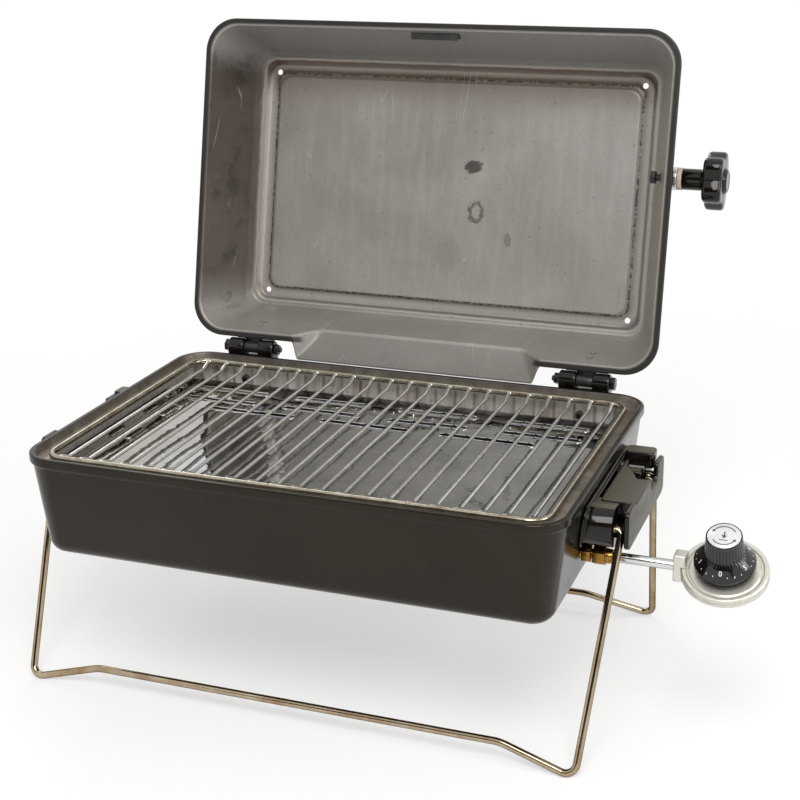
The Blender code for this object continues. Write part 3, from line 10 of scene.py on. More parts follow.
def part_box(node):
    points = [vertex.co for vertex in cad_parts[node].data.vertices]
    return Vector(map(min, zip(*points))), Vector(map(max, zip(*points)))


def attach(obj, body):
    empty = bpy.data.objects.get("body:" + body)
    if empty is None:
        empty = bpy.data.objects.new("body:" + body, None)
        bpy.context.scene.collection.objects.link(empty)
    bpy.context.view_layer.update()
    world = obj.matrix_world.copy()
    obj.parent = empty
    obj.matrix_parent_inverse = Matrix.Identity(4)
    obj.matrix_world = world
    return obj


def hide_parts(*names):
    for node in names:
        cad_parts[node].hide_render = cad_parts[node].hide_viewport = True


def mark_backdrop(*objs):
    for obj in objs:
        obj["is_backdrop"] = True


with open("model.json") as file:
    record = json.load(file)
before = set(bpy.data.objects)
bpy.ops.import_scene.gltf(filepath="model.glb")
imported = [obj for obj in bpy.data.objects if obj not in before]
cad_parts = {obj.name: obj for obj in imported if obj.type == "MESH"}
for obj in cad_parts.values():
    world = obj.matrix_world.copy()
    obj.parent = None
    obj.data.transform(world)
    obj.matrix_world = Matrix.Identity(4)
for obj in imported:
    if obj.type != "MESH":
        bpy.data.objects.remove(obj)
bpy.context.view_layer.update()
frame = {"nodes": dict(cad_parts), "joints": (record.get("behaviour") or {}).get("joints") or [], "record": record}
print("frame loaded:", len(frame["nodes"]), "parts")

# Folding tabletop gas grill. Shapes are worked out in millimetres from the middle of the firebox's
# rim, +X to the gas side, +Y to the hinges, and then moved to where the CAD firebox stands.
mm = 0.001
weldGap = 0.002 * mm  # points this close become one
poleRadius = 1e-4  # stands for a lathe profile's point on its axis
joints = {joint["name"]: joint for joint in frame["joints"]}
boxLow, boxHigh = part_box("firebox")
rimMiddle = np.array([(boxLow.x + boxHigh.x) / 2, (boxLow.y + boxHigh.y) / 2, boxHigh.z])
rimLength = (boxHigh.x - boxLow.x) / mm
rimWidth = (boxHigh.y - boxLow.y) / mm
halfX, halfY = rimLength / 2, rimWidth / 2


def fromWorld(place):
    return (np.array(place) - rimMiddle) / mm


hingePin = fromWorld(joints["lid_hinge"]["pos_m"])
openAngle = math.radians(joints["lid_hinge"]["range_deg"][1])
legPivot = fromWorld(joints["rear_leg_fold"]["pos_m"])
gasLine = (-58.0, -60.0)  # y and z of the gas line
hingeX = 167.0  # of each hinge's middle
wirePitch = 19.0  # between the grate's wires
lidKnobPlace = (-25, 35)  # y and z of the star knob's axis, lid shut
rivetLevels = (17, 28)  # heights of the hinge straps' rivets, lid shut
knobMiddle = fromWorld(joints["knob_turn"]["pos_m"])
knobAxis = np.array(joints["knob_turn"]["axis"], float)


def newObject(name, data):
    item = bpy.data.objects.new(name, data)
    bpy.context.scene.collection.objects.link(item)
    return item


def aimed(place, direction):
    # stands at a place and looks, along its own -Z, in a direction
    turn = Vector(direction).to_track_quat("-Z", "Y").to_matrix().to_4x4()
    return Matrix.Translation(place) @ turn


cameraSizes = {
    "place": (490.5, -1145.3, 464.5),
    "aim": (-0.3287, 0.8899, -0.3163),
    "roll": -0.78,
    "lens": 70.1,
    "sensor": 36.0,
    "shiftX": -0.0252,
    "shiftY": -0.0390,
}


def addCamera(sizes):
    data = bpy.data.cameras.new("grillCamera")
    data.sensor_width = sizes["sensor"]
    data.lens = sizes["lens"]
    data.shift_x, data.shift_y = sizes["shiftX"], sizes["shiftY"]
    data.clip_start, data.clip_end = 0.05, 100
    camera = newObject("grillCamera", data)
    roll = Matrix.Rotation(math.radians(sizes["roll"]), 4, "Z")
    camera.matrix_world = aimed(rimMiddle + np.array(sizes["place"]) * mm, sizes["aim"]) @ roll
    bpy.context.scene.camera = camera


addCamera(cameraSizes)
print("camera placed")


def patch(grid, wrapRows=False, paint=0):
    # rows of closed rings, grid[row, column] = (x, y, z), which wrap round or are capped at both
    # ends; paint is one finish, or one for each band between two rows
    return {"grid": np.asarray(grid, float), "wrap": wrapRows, "paint": paint}


def gridFaces(rows, columns, bands):
    # each face joins (i, j), (i + 1, j), (i + 1, j + 1) and (i, j + 1), counted round
    i, j = np.arange(bands)[:, None], np.arange(columns)[None, :]
    nextI, nextJ = (i + 1) % rows, (j + 1) % columns
    corners = (i * columns + j, nextI * columns + j, nextI * columns + nextJ, i * columns + nextJ)
    return np.stack(np.broadcast_arrays(*corners), -1).reshape(-1, 4)


def tidyMesh(mesh):
    # doubles merged, so that poles close, and faces turned outwards
    work = bmesh.new()
    work.from_mesh(mesh)
    bmesh.ops.remove_doubles(work, verts=work.verts, dist=weldGap)
    bmesh.ops.recalc_face_normals(work, faces=work.faces)
    work.to_mesh(mesh)
    work.free()


def meshFrom(name, patches):
    # the patches become one mesh
    points, faces, paints, first = [], [], [], 0
    for sheet in patches:
        grid = sheet["grid"]
        rows, columns = grid.shape[:2]
        bands = rows if sheet["wrap"] else rows - 1
        bandPaint = np.broadcast_to(sheet["paint"], (bands,))
        faces += (gridFaces(rows, columns, bands) + first).tolist()
        paints += np.repeat(bandPaint, columns).tolist()
        if not sheet["wrap"]:
            faces += [list(range(first, first + columns))[::-1],
                      list(range(first + (rows - 1) * columns, first + rows * columns))]
            paints += [int(bandPaint[0]), int(bandPaint[-1])]
        points.append(grid.reshape(-1, 3))
        first += rows * columns
    mesh = bpy.data.meshes.new(name)
    mesh.from_pydata((np.concatenate(points) * mm + rimMiddle).tolist(), [], faces)
    mesh.polygons.foreach_set("material_index", np.array(paints, np.int32))
    tidyMesh(mesh)
    return mesh


def shape(name, *patches):
    return newObject(name, meshFrom(name, patches))


def evaluatedMesh(item):
    graph = bpy.context.evaluated_depsgraph_get()
    return bpy.data.meshes.new_from_object(item.evaluated_get(graph))


def pierced(item, *patches):
    # the item less the solids that the patches enclose
    tool = shape("tool", *patches)
    step = item.modifiers.new("holes", "BOOLEAN")
    step.operation, step.solver, step.object = "DIFFERENCE", "EXACT", tool
    mesh = evaluatedMesh(item)
    item.modifiers.clear()
    item.data = mesh
    bpy.data.objects.remove(tool, do_unlink=True)
    return item


def joined(first, second):
    # the second object's mesh added to the first
    work = bmesh.new()
    work.from_mesh(first.data)
    work.from_mesh(second.data)
    work.to_mesh(first.data)
    work.free()
    bpy.data.objects.remove(second, do_unlink=True)
    return first


def finishPiece(item, name, body, finishes, replaced, sharpAngle):
    # shading, finish, body and the CAD nodes that it stands for
    item.name = name
    item.data.name = name
    for material in finishes:
        item.data.materials.append(finish[material])
    item.data.shade_smooth()
    item.data.set_sharp_from_angle(angle=math.radians(sharpAngle))
    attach(item, body)
    if replaced:
        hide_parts(*replaced)
    return item


def piece(name, body, finishes, patches, replaced, sharpAngle):
    return finishPiece(shape(name, *patches), name, body, finishes, replaced, sharpAngle)


def unit(vectors):
    return vectors / np.maximum(np.linalg.norm(vectors, axis=-1, keepdims=True), 1e-12)


def softened(points, radii, steps, closed=False):
    # a polyline whose corners become arcs, each tangent to both sides at radius / tan(half the
    # angle between them); an arc takes up no more than mostOfSide of either side
    mostOfSide, leastTurn = 0.49, 0.01
    points = np.array(points, float)
    count = len(points)
    radii = np.broadcast_to(np.array(radii, float), (count,))
    found = []
    for i in range(count):
        corner = points[i]
        if not closed and i in (0, count - 1) or radii[i] <= 0:
            found.append(corner[None])
            continue
        before, after = points[i - 1] - corner, points[(i + 1) % count] - corner
        into, out = unit(before), unit(after)
        half = math.acos(max(-1.0, min(1.0, float(into @ out)))) / 2
        if half > math.pi / 2 - leastTurn:
            found.append(corner[None])
            continue
        reach = min(np.linalg.norm(before), np.linalg.norm(after)) * mostOfSide
        radius = min(radii[i], reach * math.tan(half))
        centre = corner + unit(into + out) * radius / math.sin(half)
        back = radius / math.tan(half)
        share = np.linspace(0, 1, steps + 1)[:, None]
        swing = math.pi - 2 * half
        first, last = corner + into * back - centre, corner + out * back - centre
        arc = np.sin((1 - share) * swing) * first + np.sin(share * swing) * last
        found.append(centre + arc / math.sin(swing))
    return np.concatenate(found)


def spaced(path, longest):
    # extra points on the straight stretches of a path, so that no step is longer than longest
    pieces = []
    for start, end in zip(path[:-1], path[1:]):
        count = max(1, math.ceil(np.linalg.norm(end - start) / longest))
        pieces.append(start + (end - start) * (np.arange(count) / count)[:, None])
    return np.concatenate(pieces + [path[-1:]])


def roundAngles(count):
    # evenly spaced round a circle
    return np.arange(count) / count * 2 * math.pi


def onCircle(angle):
    # points (cos a, sin a)
    return np.stack([np.cos(angle), np.sin(angle)], -1)


def circle(radius, sides):
    return radius * onCircle(roundAngles(sides))


def roundedOutline(halfWide, halfHigh, radius, steps=10, centre=(0, 0)):
    # four quarter circles: centre of each at (half - radius), points at radius (cos a, sin a)
    angle = np.radians(np.arange(4)[:, None] * 90 + np.linspace(0, 90, steps + 1)[None])
    signs = np.array([(1, 1), (-1, 1), (-1, -1), (1, -1)])[:, None]
    middle = signs * (np.array([halfWide, halfHigh]) - radius)
    ring = middle + radius * onCircle(angle)
    return ring.reshape(-1, 2) + np.array(centre)


def boxOutline(lowX, highX, lowY, highY, radius, steps):
    return roundedOutline((highX - lowX) / 2, (highY - lowY) / 2, radius, steps,
                          ((highX + lowX) / 2, (highY + lowY) / 2))


def atLevel(outline, level):
    # a flat outline as points at one height, or at a height for each point
    return np.column_stack([outline, np.broadcast_to(level, len(outline))])


def sweep(path, profile, up, closed, scale):
    # P(i, j) = path(i) + a(j) side(i) + b(j) up, where side is the path's tangent crossed with up
    if closed:
        tangent = np.roll(path, -1, 0) - np.roll(path, 1, 0)
    else:
        tangent = np.gradient(path, axis=0)
    up = unit(np.array(up, float))
    side = unit(np.cross(tangent, up))
    spread = profile[None] * scale[:, None, None]
    return path[:, None] + spread[..., :1] * side[:, None] + spread[..., 1:] * up


def tube(path, radius, up, sides, closed=False):
    # a round wire along a path; at an open end the radius falls as sin a while the path runs on
    # by radius (1 - cos a), which makes a half ball
    path = np.array(path, float)
    scale = np.ones(len(path))
    domeSteps = 4
    if not closed:
        angle = np.linspace(0, math.pi / 2, domeSteps + 1)[1:]
        shrink, reach = np.sin(angle), 1 - np.cos(angle)
        startWay, endWay = unit(path[1] - path[0]), unit(path[-2] - path[-1])
        head = path[0] + startWay * (reach[:, None] - 1) * radius
        tail = path[-1] + endWay * (reach[::-1, None] - 1) * radius
        path = np.concatenate([head, path[1:-1], tail])
        scale = np.concatenate([shrink, np.ones(len(path) - 2 * domeSteps), shrink[::-1]])
    return patch(sweep(path, circle(radius, sides), up, closed, scale), wrapRows=closed)


def lathe(profile, sides, closed=False, ripple=0.0):
    # P(i, j) = (r(i) cos t(j), r(i) sin t(j), z(i)); a ripple (i, j) is added to the radius
    profile = np.array(profile, float)
    angle = roundAngles(sides)
    radius = profile[:, :1] + ripple
    height = np.broadcast_to(profile[:, 1:], (len(profile), sides))
    grid = np.stack([radius * np.cos(angle), radius * np.sin(angle), height], -1)
    return patch(grid, wrapRows=closed)


def solidLathe(profile, sides):
    # a solid of revolution whose profile starts and ends on the axis
    return lathe(np.maximum(np.array(profile, float), (poleRadius, -math.inf)), sides)


def prism(outline, low, high, edge, steps=3):
    # the outline drawn in by edge (1 - sin a) while the height runs edge (1 - cos a) in
    outline = np.array(outline, float)
    following = np.roll(outline, -1, 0)
    ahead, behind = following - outline, outline - np.roll(outline, 1, 0)
    if np.sum(outline[:, 0] * following[:, 1] - following[:, 0] * outline[:, 1]) < 0:
        ahead, behind = -ahead, -behind
    sides = [unit(np.stack([way[:, 1], -way[:, 0]], -1)) for way in (ahead, behind)]
    mitre = unit(sides[0] + sides[1])
    outward = mitre / np.maximum(np.sum(mitre * sides[0], -1, keepdims=True), 0.5)
    angle = np.linspace(0, math.pi / 2, steps + 1)
    inset = edge * np.concatenate([1 - np.sin(angle), (1 - np.sin(angle))[::-1]])
    rise = edge * (1 - np.cos(angle))
    height = np.concatenate([low + rise, (high - rise)[::-1]])
    flat = outline[None] - outward[None] * inset[:, None, None]
    level = np.broadcast_to(height[:, None, None], flat.shape[:2] + (1,))
    return patch(np.concatenate([flat, level], -1))


def turned(sheet, matrix=None, axes=None, shift=(0, 0, 0)):
    # a patch with its axes reordered, then turned by a 3 x 3 matrix and moved
    grid = sheet["grid"]
    if axes is not None:
        grid = grid[..., list(axes)]
    if matrix is not None:
        grid = grid @ np.array(matrix).T
    return {**sheet, "grid": grid + np.array(shift, float)}


def about(axis, angle):
    return np.array(Matrix.Rotation(angle, 3, axis))


def frameOf(direction):
    # columns are two cross directions and the direction itself
    z = unit(np.array(direction, float))
    x = unit(np.cross((0, 1, 0) if abs(z[1]) < 0.9 else (1, 0, 0), z))
    return np.stack([x, np.cross(z, x), z], -1)


def along(sheet, place, direction):
    # a patch built about Z, set at a place with its Z along a direction
    return turned(sheet, frameOf(direction), shift=place)


def onKnobAxis(sheet):
    return along(sheet, knobMiddle, knobAxis)


def opened(*patches):
    # from the shut lid's place to the open one: turned about the hinge pin by the open angle
    turn = about("X", -openAngle).T
    return [{**sheet, "grid": (sheet["grid"] - hingePin) @ turn + hingePin} for sheet in patches]


alongX = (2, 0, 1)  # an outline (y, z) or a profile (radius, x) moved from XY, Z to its own axes


def slabX(outline, low, high, edge, radii=None, steps=5):
    # an outline in (y, z) as a plate between two x
    if radii is not None:
        outline = softened(outline, radii, steps, True)
    return turned(prism(outline, low, high, edge), axes=alongX)


def revolvedX(section, y, z, radii, steps=4, sides=48, closed=True):
    # a section (radius, x) turned about the line along X through y and z
    sheet = lathe(softened(section, radii, steps, closed), sides, closed)
    return turned(sheet, axes=alongX, shift=(0, y, z))


def rod(radius, start, end, sides, edge=0.3):
    # a round or many-sided bar between two points, its ends' edges rounded
    start, end = np.array(start, float), np.array(end, float)
    length = float(np.linalg.norm(end - start))
    return along(prism(circle(radius, sides), 0, length, edge), start, end - start)


def hole(place, direction, radius, reach, sides=28):
    # a round bar to cut with, centred on a place
    cutter = prism(circle(radius, sides), -reach, reach, 0.0, 1)
    return along(cutter, place, direction)


class Nodes:
    # short words for the shader nodes that the finishes share; place is where textures look up
    def __init__(self, name):
        self.material = bpy.data.materials.new(name)
        self.material.use_nodes = True
        self.tree = self.material.node_tree
        self.shader = self.tree.nodes["Principled BSDF"]
        self.place = self.add("ShaderNodeTexCoord").outputs["Object"]

    def feed(self, node, inputs):
        # inputs by name or number; None leaves one as it is
        for key, value in inputs.items():
            socket = node.inputs[key]
            if isinstance(value, bpy.types.NodeSocket):
                self.tree.links.new(value, socket)
            elif isinstance(value, tuple) and socket.type == "RGBA":
                socket.default_value = (*value, 1)
            elif value is not None:
                socket.default_value = value

    def add(self, kind, inputs=None, **settings):
        node = self.tree.nodes.new(kind)
        for key, value in settings.items():
            setattr(node, key, value)
        self.feed(node, inputs or {})
        return node

    def fixed(self, **values):
        self.feed(self.shader, {key.replace("_", " "): value for key, value in values.items()})

    def mapped(self, move=(0, 0, 0), turn=(0, 0, 0), stretch=(1, 1, 1)):
        inputs = {"Vector": self.place, "Location": move, "Rotation": turn, "Scale": stretch}
        return self.add("ShaderNodeMapping", inputs).outputs["Vector"]

    def noise(self, scale, detail=4, rough=0.55, bend=0.0, stretch=None):
        place = self.place if stretch is None else self.mapped(stretch=stretch)
        inputs = {"Vector": place, "Scale": scale, "Detail": detail, "Roughness": rough,
                  "Distortion": bend}
        return self.add("ShaderNodeTexNoise", inputs).outputs["Fac"]

    def ramp(self, value, stops):
        node = self.add("ShaderNodeValToRGB", {"Fac": value})
        elements = node.color_ramp.elements
        while len(elements) < len(stops):
            elements.new(0.5)
        for element, (position, colour) in zip(elements, stops):
            element.position = position
            shade = colour if isinstance(colour, tuple) else (colour,) * 3
            element.color = (*shade, 1)
        return node.outputs["Color"]

    def patchy(self, stops, *settings, **more):
        # a ramp over noise
        return self.ramp(self.noise(*settings, **more), stops)

    def math(self, operation, first, second=0.0, third=None):
        inputs = {0: first, 1: second, 2: third}
        return self.add("ShaderNodeMath", inputs, operation=operation).outputs[0]

    def times(self, first, second):
        return self.math("MULTIPLY", first, second)

    def length(self, vector):
        return self.add("ShaderNodeVectorMath", {0: vector}, operation="LENGTH").outputs["Value"]

    def mix(self, share, first, second, blend="MIX"):
        inputs = {0: share, 6: first, 7: second}
        return self.add("ShaderNodeMix", inputs, data_type="RGBA", blend_type=blend).outputs[2]

    def layered(self, colour, *layers):
        # one colour over another, each with the share of the surface that it takes
        for share, shade in layers:
            colour = self.mix(share, colour, shade)
        return colour

    def parts(self, place=None):
        inputs = {0: self.place if place is None else place}
        return tuple(self.add("ShaderNodeSeparateXYZ", inputs).outputs)

    def fromRim(self):
        # x, y and z from the middle of the firebox's rim
        return self.parts(self.mapped(move=tuple(-rimMiddle)))

    def between(self, value, low, high, first=0.0, second=1.0):
        # value from low to high becomes first to second, smoothly
        inputs = {"Value": value, "From Min": low, "From Max": high, "To Min": first,
                  "To Max": second}
        node = self.add("ShaderNodeMapRange", inputs, interpolation_type="SMOOTHSTEP")
        return node.outputs["Result"]

    def band(self, value, rise, fall):
        # 0 to 1 over one stretch of the value and back to 0 over another
        return self.times(self.between(value, *rise), self.between(value, *fall))

    def bump(self, height, strength, distance, normal=None):
        inputs = {"Height": height, "Strength": strength, "Distance": distance, "Normal": normal}
        return self.add("ShaderNodeBump", inputs).outputs["Normal"]

    def done(self, colour, roughness, normal, metallic=None):
        self.fixed(Base_Color=colour, Roughness=roughness, Normal=normal, Metallic=metallic)
        return self.material


def blackEnamel():
    # deep brown-black with a slight orange peel and some dust
    n = Nodes("blackEnamel")
    colour = n.patchy([(0.35, (0.0070, 0.0056, 0.0036)), (0.7, (0.0125, 0.0102, 0.0068))],
                      9, 5, 0.6)
    dust = n.patchy([(0.60, 0.0), (0.78, 0.14)], 60, 6, 0.7, 0.4)
    colour = n.mix(dust, colour, (0.060, 0.050, 0.036))
    roughness = n.patchy([(0.3, 0.16), (0.75, 0.24)], 24, 4)
    peel = n.bump(n.noise(420, 2, 0.5), 0.05, 0.0002)
    soft = n.bump(n.noise(14, 2, 0.4), 0.10, 0.0006, peel)
    n.fixed(Specular_IOR_Level=0.30, Specular_Tint=(1.0, 0.88, 0.74))
    return n.done(colour, roughness, soft)


def rimMetal():
    # the grate's ledge: enamel worn to grey with brown heat stain and patches of rust, a painted highlight along
    # its inner edge, and black enamel towards the rim
    n = Nodes("ledgeWorn")
    ledgeEdge = 18.4
    past = [n.math("SUBTRACT", n.math("ABSOLUTE", part), (half - ledgeEdge) * mm)
            for part, half in zip(n.fromRim(), (halfX, halfY))]
    edge = n.math("MAXIMUM", *past)
    grain = n.noise(340, 4, 0.7)
    base = n.patchy([(0.30, (0.075, 0.062, 0.048)), (0.5, (0.17, 0.148, 0.122)),
                     (0.72, (0.27, 0.245, 0.215))], 55, 6, 0.65, 0.3)
    rust = n.patchy([(0.52, 0.0), (0.66, 0.7)], 38, 7, 0.75, 0.6)
    # painted highlight: the second layer is a pale tan line along the ledge's inner edge
    base = n.layered(base, (rust, (0.16, 0.085, 0.043)),
                     (n.between(edge, 0.004, 0.0005, 0, 0.75), (0.40, 0.34, 0.28)),
                     (n.between(edge, 0.0115, 0.0150), (0.013, 0.011, 0.008)))
    roughness = n.ramp(grain, [(0.3, 0.34), (0.7, 0.55)])
    return n.done(base, roughness, n.bump(grain, 0.25, 0.0003),
                  n.between(edge, 0.0150, 0.0100, 0.0, 0.45))


def fireboxInside():
    # pale worn enamel with painted shadows of the wires as brown streaks running down below them, and darker
    # towards the bottom
    n = Nodes("fireboxInside")
    x, _, z = n.fromRim()
    spot = n.noise(120, 5, 0.7)
    base = n.patchy([(0.34, (0.46, 0.385, 0.32)), (0.5, (0.74, 0.69, 0.64)),
                     (0.7, (0.90, 0.865, 0.825))], 46, 5, 0.7, 0.2, stretch=(1.6, 1.6, 0.16))
    # painted shadow: brown streaks down the wall below each wire, where the wires' shadows fall
    turns = n.math("MULTIPLY_ADD", x, 1 / (wirePitch * mm), 100.0)
    wires = n.math("ABSOLUTE", n.math("SUBTRACT", n.math("FRACT", turns), 0.5))
    wireShadow = n.times(n.between(wires, 0.13, 0.02), n.patchy([(0.3, 0.35), (0.7, 0.9)], 30, 3))
    # the last layer makes the wall darker towards the bottom, near black from 30 to 60 mm down
    base = n.layered(base, (wireShadow, (0.200, 0.135, 0.090)),
                     (n.ramp(spot, [(0.6, 0.0), (0.72, 0.8)]), (0.20, 0.10, 0.05)),
                     (n.between(z, -0.030, -0.060), (0.035, 0.031, 0.027)))
    return n.done(base, n.ramp(spot, [(0.3, 0.38), (0.7, 0.6)]), n.bump(spot, 0.2, 0.0004), 0.25)


lidSizes = {
    "sheet": 0.8,
    "overhang": 1.0,
    "seat": 0.85,
    "flange": 5.6,
    "draft": 0.30,
    "depth": 76,
    "corner": 31,
    "ventHalf": 122,
    "ventTaper": 19,
    "ventReach": 17,
    "ventRise": 22,
    "ventSkin": 0.6,
    # the section: the flat panel's inset and fall, the bead's steps in from the shoulder and down
    # from the top, the bend radii
    "panel": (72, 2.4),
    "bead": [(24, 2.4), (21, 0), (12, 0), (9, 4.4), (4.3, 4.8)],
    "shoulderFall": 14,
    "bends": [0, 3, 3, 3.4, 3.4, 6, 14, 0, 1.5, 0.7, 0],
    "holes": (186.5, 109.5),
    # cutters: radius and half depth
    "panelHole": (2.7, 6),
    "knobHole": (3.5, 7),
    "rivetHole": (1.9, 5),
    # half length, middle and half width in y, corner: the flat panel, and the channel round it
    "panelBox": (186, -1.5, 107, 9),
    "channelBox": (200.5, -1.5, 121.5, 14),
    # burnt spots: middle x and y, half width and height, whether only its edge shows, share, colour
    "spots": [(25, -26, 10, 7, False, 0.85, (0.035, 0.030, 0.024)),
              (30, 17, 9, 12, True, 0.8, (0.045, 0.038, 0.030)),
              (64, 42, 4, 8, False, 0.5, (0.10, 0.09, 0.08)),
              (5, 60, 14, 20, False, 0.13, (0.12, 0.11, 0.10))],
}


def roundedDistance(n, halfLength, middle, halfWidth, corner):
    # how far outside a rounded rectangle a point lies: |max(q, 0)| + min(max(q), 0) - corner
    x, y, _ = n.parts()
    y = n.math("SUBTRACT", y, middle * mm)
    across, ahead = [n.math("SUBTRACT", n.math("ABSOLUTE", part), (half - corner) * mm)
                     for part, half in ((x, halfLength), (y, halfWidth))]
    squares = [n.math("POWER", n.math("MAXIMUM", part, 0.0), 2.0) for part in (across, ahead)]
    outside = n.math("SQRT", n.math("ADD", *squares))
    inside = n.math("MINIMUM", n.math("MAXIMUM", across, ahead), 0.0)
    return n.math("SUBTRACT", n.math("ADD", outside, inside), corner * mm)


def burntSpot(n, x, y, halfWide, halfHigh, onlyEdge):
    # distance from a middle, stretched and shaken by noise
    flat = n.mapped((-x / halfWide, -y / halfHigh, 0),
                    stretch=(1 / (halfWide * mm), 1 / (halfHigh * mm), 0))
    shaken = n.math("MULTIPLY_ADD", n.noise(180, 4, 0.7), 1.3, -0.65)
    reach = n.math("ADD", n.length(flat), shaken)
    inner = n.between(reach, 1.0, 0.7)
    return n.times(inner, n.between(reach, 0.35, 0.75)) if onlyEdge else inner


def lidInside(s):
    # satin heat-greyed steel, with painted light on it: lighter to the right and on the front and hinge-side
    # walls, painted highlights and shade on the bead; everything is laid out in the shut lid's own directions
    n = Nodes("lidInside")
    shift = -about("X", openAngle) @ (hingePin * mm + rimMiddle) + hingePin * mm
    n.place = n.mapped(tuple(shift), (openAngle, 0, 0))
    x, y, z = n.parts()
    cloud = n.noise(7, 5, 0.6, 0.5)
    brushed = n.noise(70, 4, 0.6, 0.5, stretch=(1.8, 0.16, 0.5))
    grain = n.noise(600, 3, 0.7)
    jitter = n.math("MULTIPLY_ADD", n.noise(90, 3), 0.0016, -0.0008)
    fromPanel = n.math("ADD", roundedDistance(n, *s["panelBox"]), jitter)
    fromChannel = n.math("ADD", roundedDistance(n, *s["channelBox"]), jitter)

    brown = n.times(n.between(y, -0.070, -0.115), n.ramp(cloud, [(0.3, 0.35), (0.7, 0.75)]))
    panel = n.ramp(cloud, [(0.3, (0.250, 0.228, 0.200)), (0.52, (0.325, 0.305, 0.276)),
                           (0.75, (0.390, 0.373, 0.348))])
    # painted light: the second layer lightens the panel towards the right (+x)
    panel = n.layered(panel, (n.ramp(brushed, [(0.5, 0.0), (0.74, 0.20)]), (0.45, 0.415, 0.37)),
                      (n.between(x, -0.02, 0.17, 0, 0.30), (0.40, 0.39, 0.375)),
                      (brown, (0.145, 0.100, 0.066)))
    # painted light: the walls get lighter towards the right, and the front and hinge-side walls lighter than the
    # rest
    wall = n.ramp(cloud, [(0.3, (0.082, 0.068, 0.053)), (0.7, (0.150, 0.132, 0.110))])
    litHingeWall = n.ramp(cloud, [(0.3, (0.28, 0.258, 0.232)), (0.7, (0.37, 0.350, 0.322))])
    wall = n.layered(wall, (n.between(x, -0.14, 0.20), (0.37, 0.350, 0.300)),
                     (n.between(y, -0.10, -0.135, 0, 0.9), (0.340, 0.325, 0.310)),
                     (n.between(y, 0.085, 0.140), litHingeWall))
    # painted highlight along the crown of the bead round the panel, and painted shade in the groove beside it
    crownHighlight = n.band(fromPanel, (0.0020, 0.0065), (0.0125, 0.0080))
    grooveShade = n.times(n.between(fromPanel, 0.0100, 0.0125),
                     n.between(fromChannel, 0.0008, -0.0008))
    channel = n.mix(n.between(x, -0.17, -0.20), (0.235, 0.218, 0.198), (0.36, 0.32, 0.285))
    channel = n.layered(channel, (n.between(y, -0.08, -0.112), (0.095, 0.062, 0.038)),
                        (n.times(crownHighlight, 0.45), (0.52, 0.48, 0.43)),
                        (n.times(grooveShade, 0.35), (0.06, 0.05, 0.04)))

    grime = n.times(n.band(fromPanel, (-0.0014, 0.0002), (0.0020, 0.0006)),
                    n.patchy([(0.4, 0.2), (0.6, 1.0)], 300, 2))
    # painted highlight: a pale line along the ridge at the channel's outer edge
    ridgeHighlight = n.band(fromChannel, (-0.0024, -0.0008), (0.0016, 0.0))
    spots = [(n.times(burntSpot(n, *spot), share), shade) for *spot, share, shade in s["spots"]]
    cells = {"Vector": n.mapped(turn=(0, 0, 0.6), stretch=(3.5, 0.35, 1)), "Scale": 16}
    cracks = n.add("ShaderNodeTexVoronoi", cells, feature="DISTANCE_TO_EDGE")
    scratch = n.times(n.between(cracks.outputs["Distance"], 0.012, 0.002),
                      n.patchy([(0.56, 0.0), (0.64, 0.5)], 22, 3))
    speck = n.patchy([(0.62, 0.0), (0.70, 0.6)], 230, 4, 0.75)
    soot = n.times(n.between(x, -0.200, -0.214),
                   n.patchy([(0.54, 0.0), (0.66, 0.6)], 34, 6, 0.7, 0.4))
    flare = n.between(n.math("MULTIPLY_ADD", z, s["draft"], y), 0.1483, 0.1500, 0, 0.40)
    colour = n.layered(panel, (n.between(fromPanel, -0.0006, 0.0022), channel),
                       (n.between(fromChannel, -0.0015, 0.0025), wall),
                       (grime, (0.03, 0.024, 0.018)), (n.times(ridgeHighlight, 0.6), (0.46, 0.42, 0.37)),
                       *spots, (scratch, (0.55, 0.53, 0.50)), (speck, (0.10, 0.088, 0.072)),
                       (soot, (0.034, 0.027, 0.019)), (flare, (0.06, 0.056, 0.050)))
    fine = n.patchy([(0.36, 0.84), (0.64, 1.0)], 820, 2, 0.8)
    colour = n.mix(1.0, colour, fine, "MULTIPLY")
    edge = n.between(roundedDistance(n, halfX - 4, 0, halfY - 4, 27), -0.001, 0.002)
    edge = n.times(n.times(edge, n.between(z, 0.010, 0.004)),
                   n.between(y, (halfY + 2.5) * mm, (halfY + 1.0) * mm))
    colour = n.mix(edge, colour, (0.020, 0.018, 0.015))
    roughness = n.ramp(brushed, [(0.3, 0.36), (0.75, 0.50)])
    normal = n.bump(cloud, 0.5, 0.0020, n.bump(grain, 0.12, 0.0002))
    n.fixed(Metallic=0.35)
    return n.done(colour, roughness, normal)


def glossPlastic(name="blackPlastic", shade=(0.006, 0.0045, 0.003), rough=(0.06, 0.16),
                 gloss=0.36):
    # smooth moulded plastic with scuffs and dust
    n = Nodes(name)
    dust = n.patchy([(0.58, 0.0), (0.72, 0.25)], 70, 6, 0.75, 0.5)
    colour = n.mix(dust, shade, (0.060, 0.052, 0.042))
    roughness = n.patchy([(0.4, rough[0]), (0.75, rough[1])], 150, 5, 0.7, 0.3)
    n.fixed(Specular_IOR_Level=gloss)
    return n.done(colour, roughness, n.bump(n.noise(40, 2), 0.08, 0.0004))


